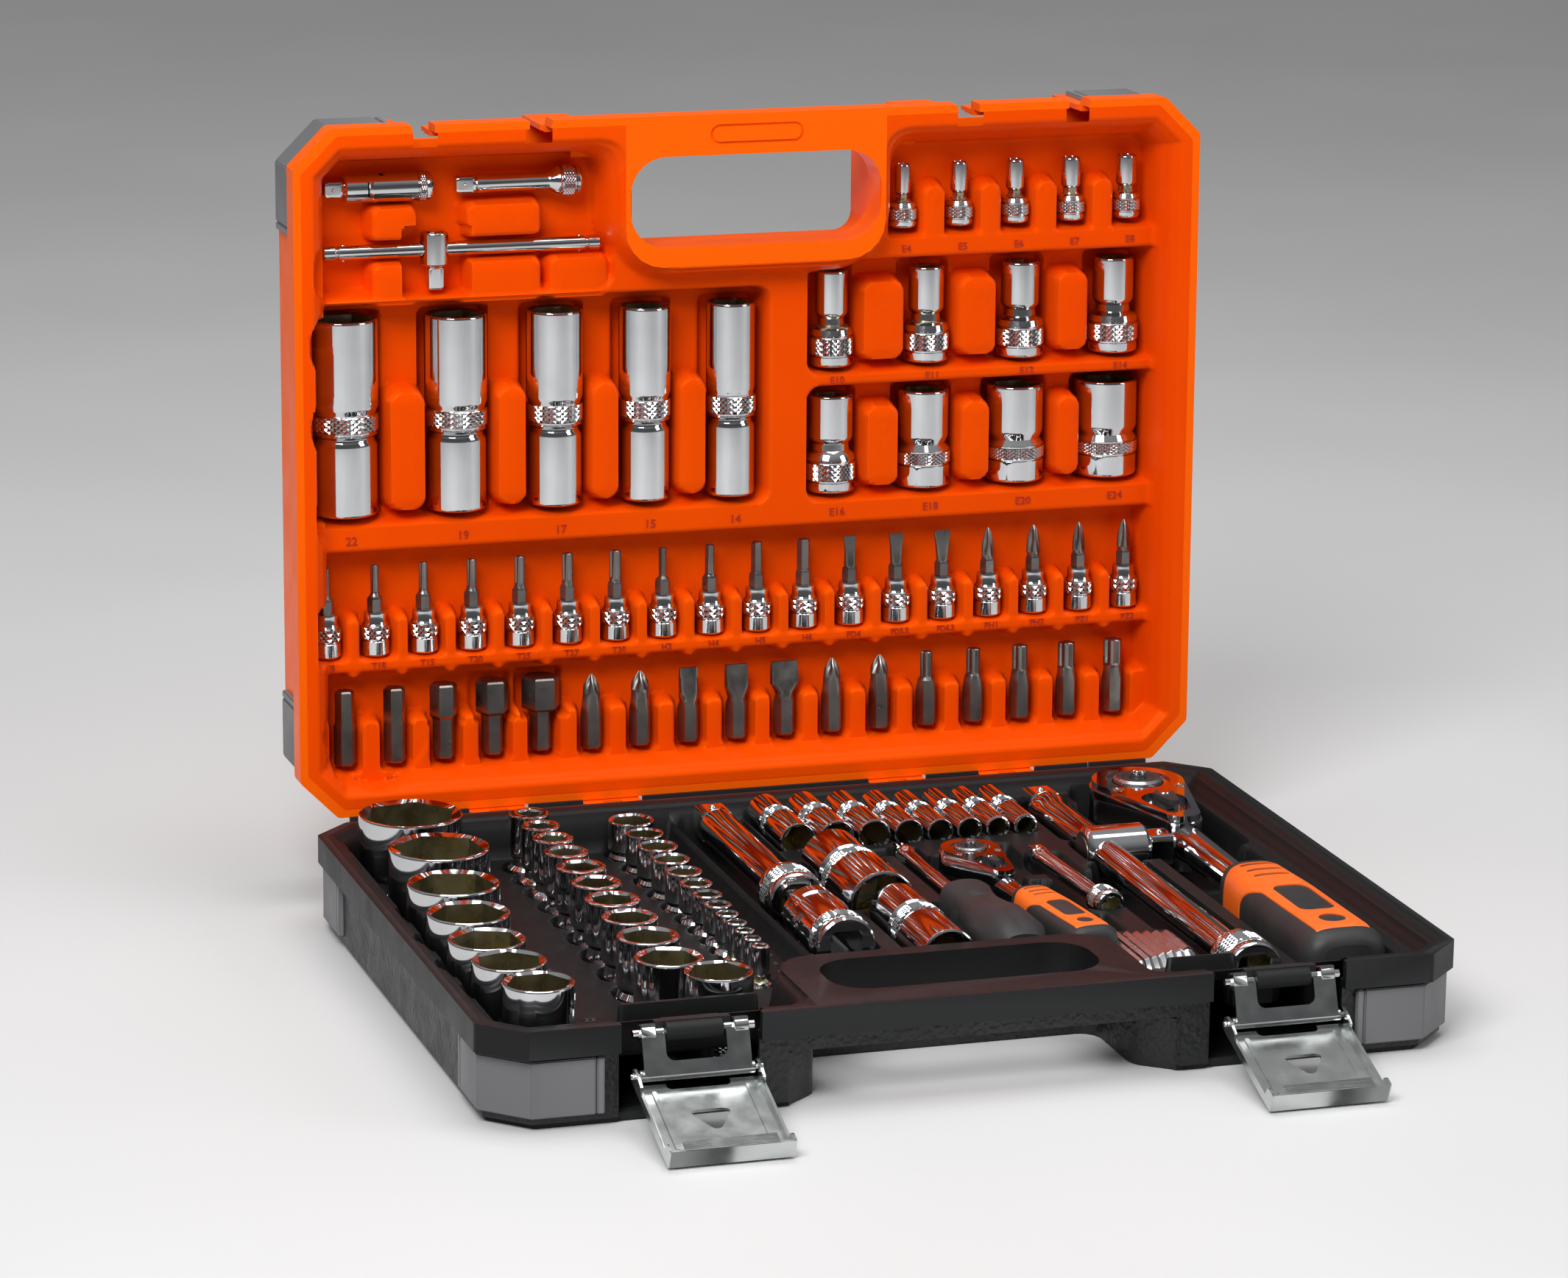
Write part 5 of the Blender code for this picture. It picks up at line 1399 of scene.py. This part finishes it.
def latch(side, sign):
    """Pressed link plate on a boss of the case, pressed lever hanging open, and their two pins."""
    x = sign * LATCH_X
    a, b = Vector((x, *LINK_AXIS)), Vector((x, *LEVER_AXIS))
    up = (a - b).normalized()
    prefix = "latch_%s_" % side

    # Link: Y along the plate from the lower pin to the upper, Z outward.
    plate = prism(rectangle(-20.2, 20.2, -0.5, 14.6, 1.2, 4), *LINK_PLATE)
    notch = prism(rectangle(-11.5, 11.5, 4.6, 30.0, 3.2, 5), LINK_PLATE[0] - 1.0, LINK_PLATE[1] + 1.0)
    joins = []
    for s in (-1, 1):
        x0, x1 = sorted((s * 14.7, s * 20.2))
        joins.append(prism(rectangle(x0, x1, 12.0, 18.6, 0.8, 3), -2.6, LINK_PLATE[1]))
        joins.append(rod(eased(2.75, 3.4, inset=0.35), 32, (s * 17.45, 15.3, 0.0)))
    joins.append(rod(eased(21.8, 2.3), 32))
    bores = [rod([(-30.0, radius), (30.0, radius)], 24, (0.0, y, 0.0))
             for y, radius in ((0.0, 1.35), (15.3, 1.55))]
    frame_link = row_frame(up, Vector(ACROSS).cross(up), b)
    node_piece(prefix + "link", carve(plate, joins, [notch] + bores, 0.3), ["zinc"], frame_link, 20.0)
    boss = rod(eased(10.9, 3.5, 0.5), 40, a)
    root = prism(rectangle(x - 10.9, x + 10.9, a.y, a.y + 6.0, 0.6, 2), a.z - 3.4, a.z + 3.4)
    hole = rod([(-30.0, 1.7), (30.0, 1.7)], 24, a)
    piece(prefix + "boss", carve(boss, [root], [hole], 0.0), ["black"], BASE, "base")

    # Lever: Y down the lever, Z outward. The frame is left-handed, so the faces are turned round.
    down = Vector((0.0, -math.sin(LEVER_REST), math.cos(LEVER_REST)))
    outward = Vector((0.0, math.cos(LEVER_REST), math.sin(LEVER_REST)))
    joins = []
    for s in (-1, 1):
        x0, x1 = sorted((s * 22.45, s * 23.55))
        joins.append(prism(rectangle(x0, x1, 2.0, 47.4), -3.9, -0.55))
        ear = arc_corner([(-3.0, -3.9), (8.2, -3.9), (8.2, 1.4), (4.0, 2.6), (-2.8, 2.6)],
                         [2.0, 0.4, 0.4, 2.0, 2.2], 4)
        tall = arc_corner([(40.6, -3.9), (47.8, -3.9), (47.8, 3.4), (42.6, 3.4)], [0.3, 0.3, 1.0, 2.2], 4)
        joins += [prism(profile, x0, x1, SIDEWAYS) for profile in (ear, tall)]
        joins.append(prism(rectangle(s * 17.6 - 0.8, s * 17.6 + 0.8, 6.0, 40.0, 0.7, 3), -3.0, -2.2))
    joins.append(prism(rectangle(-23.0, 23.0, 46.9, 47.9), -3.9, 3.2))
    for z in (42.4 + 0.62 * k for k in range(9)):
        joins.append(prism(rectangle(-17.4, 17.4, z, z + 0.34), 2.35, 3.45))
    joins.append(prism(rectangle(-17.5, 17.5, 42.2, 47.8, 0.8, 3), 2.35, 3.1))
    tab = arc_corner([(-7.2, 19.2), (7.2, 19.2), (0.0, 30.4)], [1.4, 1.4, 2.2], 4)
    joins.append(prism(tab, -3.5, -2.5))
    joins.append(prism(rectangle(-5.0, 5.0, 17.0, 21.0, 0.6, 3), -3.6, -2.7))
    cuts = [prism(rectangle(-12.0, 12.0, 0.0, 5.4, 2.0, 4), -6.0, -1.0),
            prism(arc_corner([(-8.4, 18.4), (8.4, 18.4), (0.0, 32.0)], [1.6, 1.6, 2.6], 4), -6.0, -1.0),
            rod([(-30.0, 1.35), (30.0, 1.35)], 24)]
    item = carve(prism(rectangle(-23.5, 23.5, 2.0, 47.8, 2.2, 4), -3.95, -2.85), joins, cuts, 0.25)
    bmesh.ops.reverse_faces(item, faces=item.faces)
    node_piece(prefix + "lever", item, ["zinc"], row_frame(down, outward, b), 20.0)
    for name in ("link_pin", "lever_pin"):
        polish(prefix + name, "chrome")


def polish(node_name, finish):
    """A material on a CAD node that stays in view."""
    node = bpy.data.objects[node_name]
    node.data.materials.clear()
    node.data.materials.append(PAINT[finish])
    for polygon in node.data.polygons:
        polygon.use_smooth = len(polygon.vertices) == 4


# ---------------------------------------------------------------- hex keys and size numbers

NUMBER_RAISE = 0.45


def hex_keys():
    """Small keys standing in their block, long arms lying forward."""
    for i in range(9):
        across = 1.5 + 0.5 * i
        x = 67.0 + i * 3.45
        y0 = -104.0 + i * 0.6
        length = 42.0 - 2.0 * i
        r = across * 0.9
        path = [Vector((x, y0 + out, z)) for out, z in
                ((0.0, 20.0), (0.0, 29.0), (r, 31.4), (3.5, 31.6), (length, 31.6))]
        bm = bmesh.new()
        rings = []
        for k, point in enumerate(path):
            ahead = (path[min(k + 1, len(path) - 1)] - path[max(k - 1, 0)]).normalized()
            m = aim(point, ahead, (1.0, 0.0, 0.0))
            xs, ys = ring_points("hex", across, 6)
            rings.append([bm.verts.new(m @ Vector((a, b, 0.0))) for a, b in zip(xs * 0.98, ys * 0.98)])
        join_rings(bm, rings)
        bmesh.ops.recalc_face_normals(bm, faces=bm.faces)
        piece("hex_key_%d" % (i + 1), bm, ["satin"], BASE, "base", smooth=25.0)


def label(text, place, height):
    """Raised size number on a tray."""
    curve = bpy.data.curves.new("mark", "FONT")
    curve.body = text
    curve.size = height
    curve.extrude = NUMBER_RAISE / 2
    curve.align_x, curve.align_y = "CENTER", "CENTER"
    curve.resolution_u = 3
    holder = bpy.data.objects.new("mark", curve)
    bpy.context.scene.collection.objects.link(holder)
    bpy.context.view_layer.update()
    mesh = bpy.data.meshes.new_from_object(holder)
    bpy.data.objects.remove(holder)
    bpy.data.curves.remove(curve)
    bm = bmesh.new()
    bm.from_mesh(mesh)
    bpy.data.meshes.remove(mesh)
    bmesh.ops.remove_doubles(bm, verts=bm.verts, dist=0.001)
    bmesh.ops.transform(bm, verts=bm.verts, matrix=Matrix.Translation(place))
    return bm


def lid_numbers():
    parts = []

    def row(texts, places, v, height, long_height=None):
        for text, x in zip(texts.split(), places):
            size = long_height if long_height and len(text) > 3 else height
            parts.append(label(text, (x, v, LID_DECK + 0.2), size))

    row(" ".join(str(size) for size, _, _ in DEEP), [x for _, _, x in DEEP], 111.5, 5.0)
    row("E16 E18 E20 E24", STAR_BIG_X, 112.0, 4.6)
    row("E10 E11 E12 E14", STAR_MID_X, 167.3, 4.2)
    row("E4 E5 E6 E7 E8", STAR_SMALL_X, 220.6, 4.2)
    row("T8 T10 T15 T20 T25 T27 T30 H3 H4 H5 H6 FD4 FD5.5 FD6.5 PH1 PH2 PZ1 PZ2",
        BIT_SOCKET_X, 59.5, 3.7, 3.3)
    row("HW8 HW10 HW12 HW14 HW7 PH3 PH4 FD8 FD10 FD12 PZ3 PZ4 T40 T45 T50 T55 T60", BIT_X, 11.6, 3.6, 3.2)
    # The raised numbers take the darker orange of painted shade, not a colour of their own.
    piece("lid_numbers", merged(parts), ["number_orange_painted_shade"], LID, "lid", smooth=25.0)


def base_numbers():
    low, high = LOW_DECK + 0.3, HIGH_DECK + 0.3
    marks = [(size, (-136.8, y - 2.0, low), 5.0) for size, _, _, y, _ in LARGE[1:]]
    marks.append((32, (-133.0, 107.5, low), 5.0))
    marks += [(size, (-88.0, y, low), 5.0) for size, y in zip(MID_SIZES, MID_Y)]
    marks += [(size, (-50.0, y, low), 4.2) for size, y in zip(SMALL_SIZES, SMALL_Y)]
    marks += [(size, (x, 76.4, high), 3.8) for size, x in zip(DEEP_SIZES, DEEP_X)]
    parts = [label(str(size), place, height) for size, place, height in marks]
    piece("base_numbers", merged(parts), ["number_black"], BASE, "base", smooth=25.0)


# ---------------------------------------------------------------- floor, light and camera

FLOOR_HALF = 4.0
FLOOR_DROP = 0.0004
WORLD_STRENGTH = 0.36
LIGHTS = [("key", (-0.9, -1.1, 1.5), (0.0, 0.0, 0.08), (0.9, 0.9), 33.0),
          ("fill", (1.5, -0.9, 0.9), (0.0, 0.0, 0.1), (0.7, 1.2), 7.0),
          ("top", (0.1, 0.1, 1.8), (0.0, 0.0, 0.0), (1.5, 1.0), 17.0)]
CAMERA_PLACE = (-0.6788, -2.0228, 0.6793)
CAMERA_TURN, CAMERA_TILT, CAMERA_ROLL = math.radians(-17.612), math.radians(75.737), math.radians(0.671)
LENS, SENSOR = 131.38, 36.0


def area(name, location, target, size, power):
    data = bpy.data.lights.new(name, "AREA")
    data.shape = "RECTANGLE"
    data.size, data.size_y = size
    data.energy = power
    lamp = bpy.data.objects.new(name, data)
    bpy.context.scene.collection.objects.link(lamp)
    lamp.location = location
    lamp.rotation_euler = (Vector(target) - Vector(location)).to_track_quat("-Z", "Y").to_euler()


def floor():
    n = Nodes("studio_floor")
    n.set(Base_Color=n.ramp(n.noise(3.0, 2.0), [(0.3, (0.62, 0.62, 0.62)), (0.7, (0.66, 0.66, 0.66))]))
    n.set(Roughness=0.6)
    bm = bmesh.new()
    bmesh.ops.create_grid(bm, x_segments=2, y_segments=2, size=FLOOR_HALF)
    mesh = bpy.data.meshes.new("floor")
    bm.to_mesh(mesh)
    bm.free()
    mesh.materials.append(n.material)
    item = bpy.data.objects.new("floor", mesh)
    bpy.context.scene.collection.objects.link(item)
    item.location = (0.0, 0.0, -FLOOR_DROP)


def studio():
    scene = bpy.context.scene
    world = bpy.data.worlds.new("studio")
    world.use_nodes = True
    tree = world.node_tree
    place = tree.nodes.new("ShaderNodeTexCoord")
    parts = tree.nodes.new("ShaderNodeSeparateXYZ")
    tree.links.new(place.outputs["Generated"], parts.inputs[0])
    sky = tree.nodes.new("ShaderNodeValToRGB")
    sky.color_ramp.elements[0].position, sky.color_ramp.elements[0].color = 0.0, (0.30, 0.30, 0.31, 1.0)
    sky.color_ramp.elements[1].position, sky.color_ramp.elements[1].color = 0.75, (0.95, 0.95, 0.95, 1.0)
    sky.color_ramp.elements.new(0.3).color = (0.22, 0.22, 0.23, 1.0)
    tree.links.new(parts.outputs["Z"], sky.inputs["Fac"])
    tree.links.new(sky.outputs["Color"], tree.nodes["Background"].inputs["Color"])
    tree.nodes["Background"].inputs["Strength"].default_value = WORLD_STRENGTH
    scene.world = world
    scene.view_settings.view_transform = "Standard"
    for light in LIGHTS:
        area(*light)
    data = bpy.data.cameras.new("camera")
    data.lens, data.sensor_width = LENS, SENSOR
    camera = bpy.data.objects.new("camera", data)
    scene.collection.objects.link(camera)
    turn = (Matrix.Rotation(CAMERA_TURN, 4, "Z") @ Matrix.Rotation(CAMERA_TILT, 4, "X")
            @ Matrix.Rotation(CAMERA_ROLL, 4, "Z"))
    camera.matrix_world = Matrix.Translation(CAMERA_PLACE) @ turn
    scene.camera = camera


def main():
    base_case()
    lid_case()
    corner_guards()
    for name in ("hinge_pin_left", "hinge_pin_right"):
        polish(name, "zinc")
    base_skin()
    lid_skin()
    large_sockets()
    standing_rows()
    lid_sockets()
    bit_sockets()
    bits()
    extensions()
    spark_plug_sockets()
    tee_parts()
    universal_joints()
    spinner()
    ratchets()
    latch("left", -1)
    latch("right", 1)
    hex_keys()
    lid_numbers()
    base_numbers()
    floor()
    studio()


main()
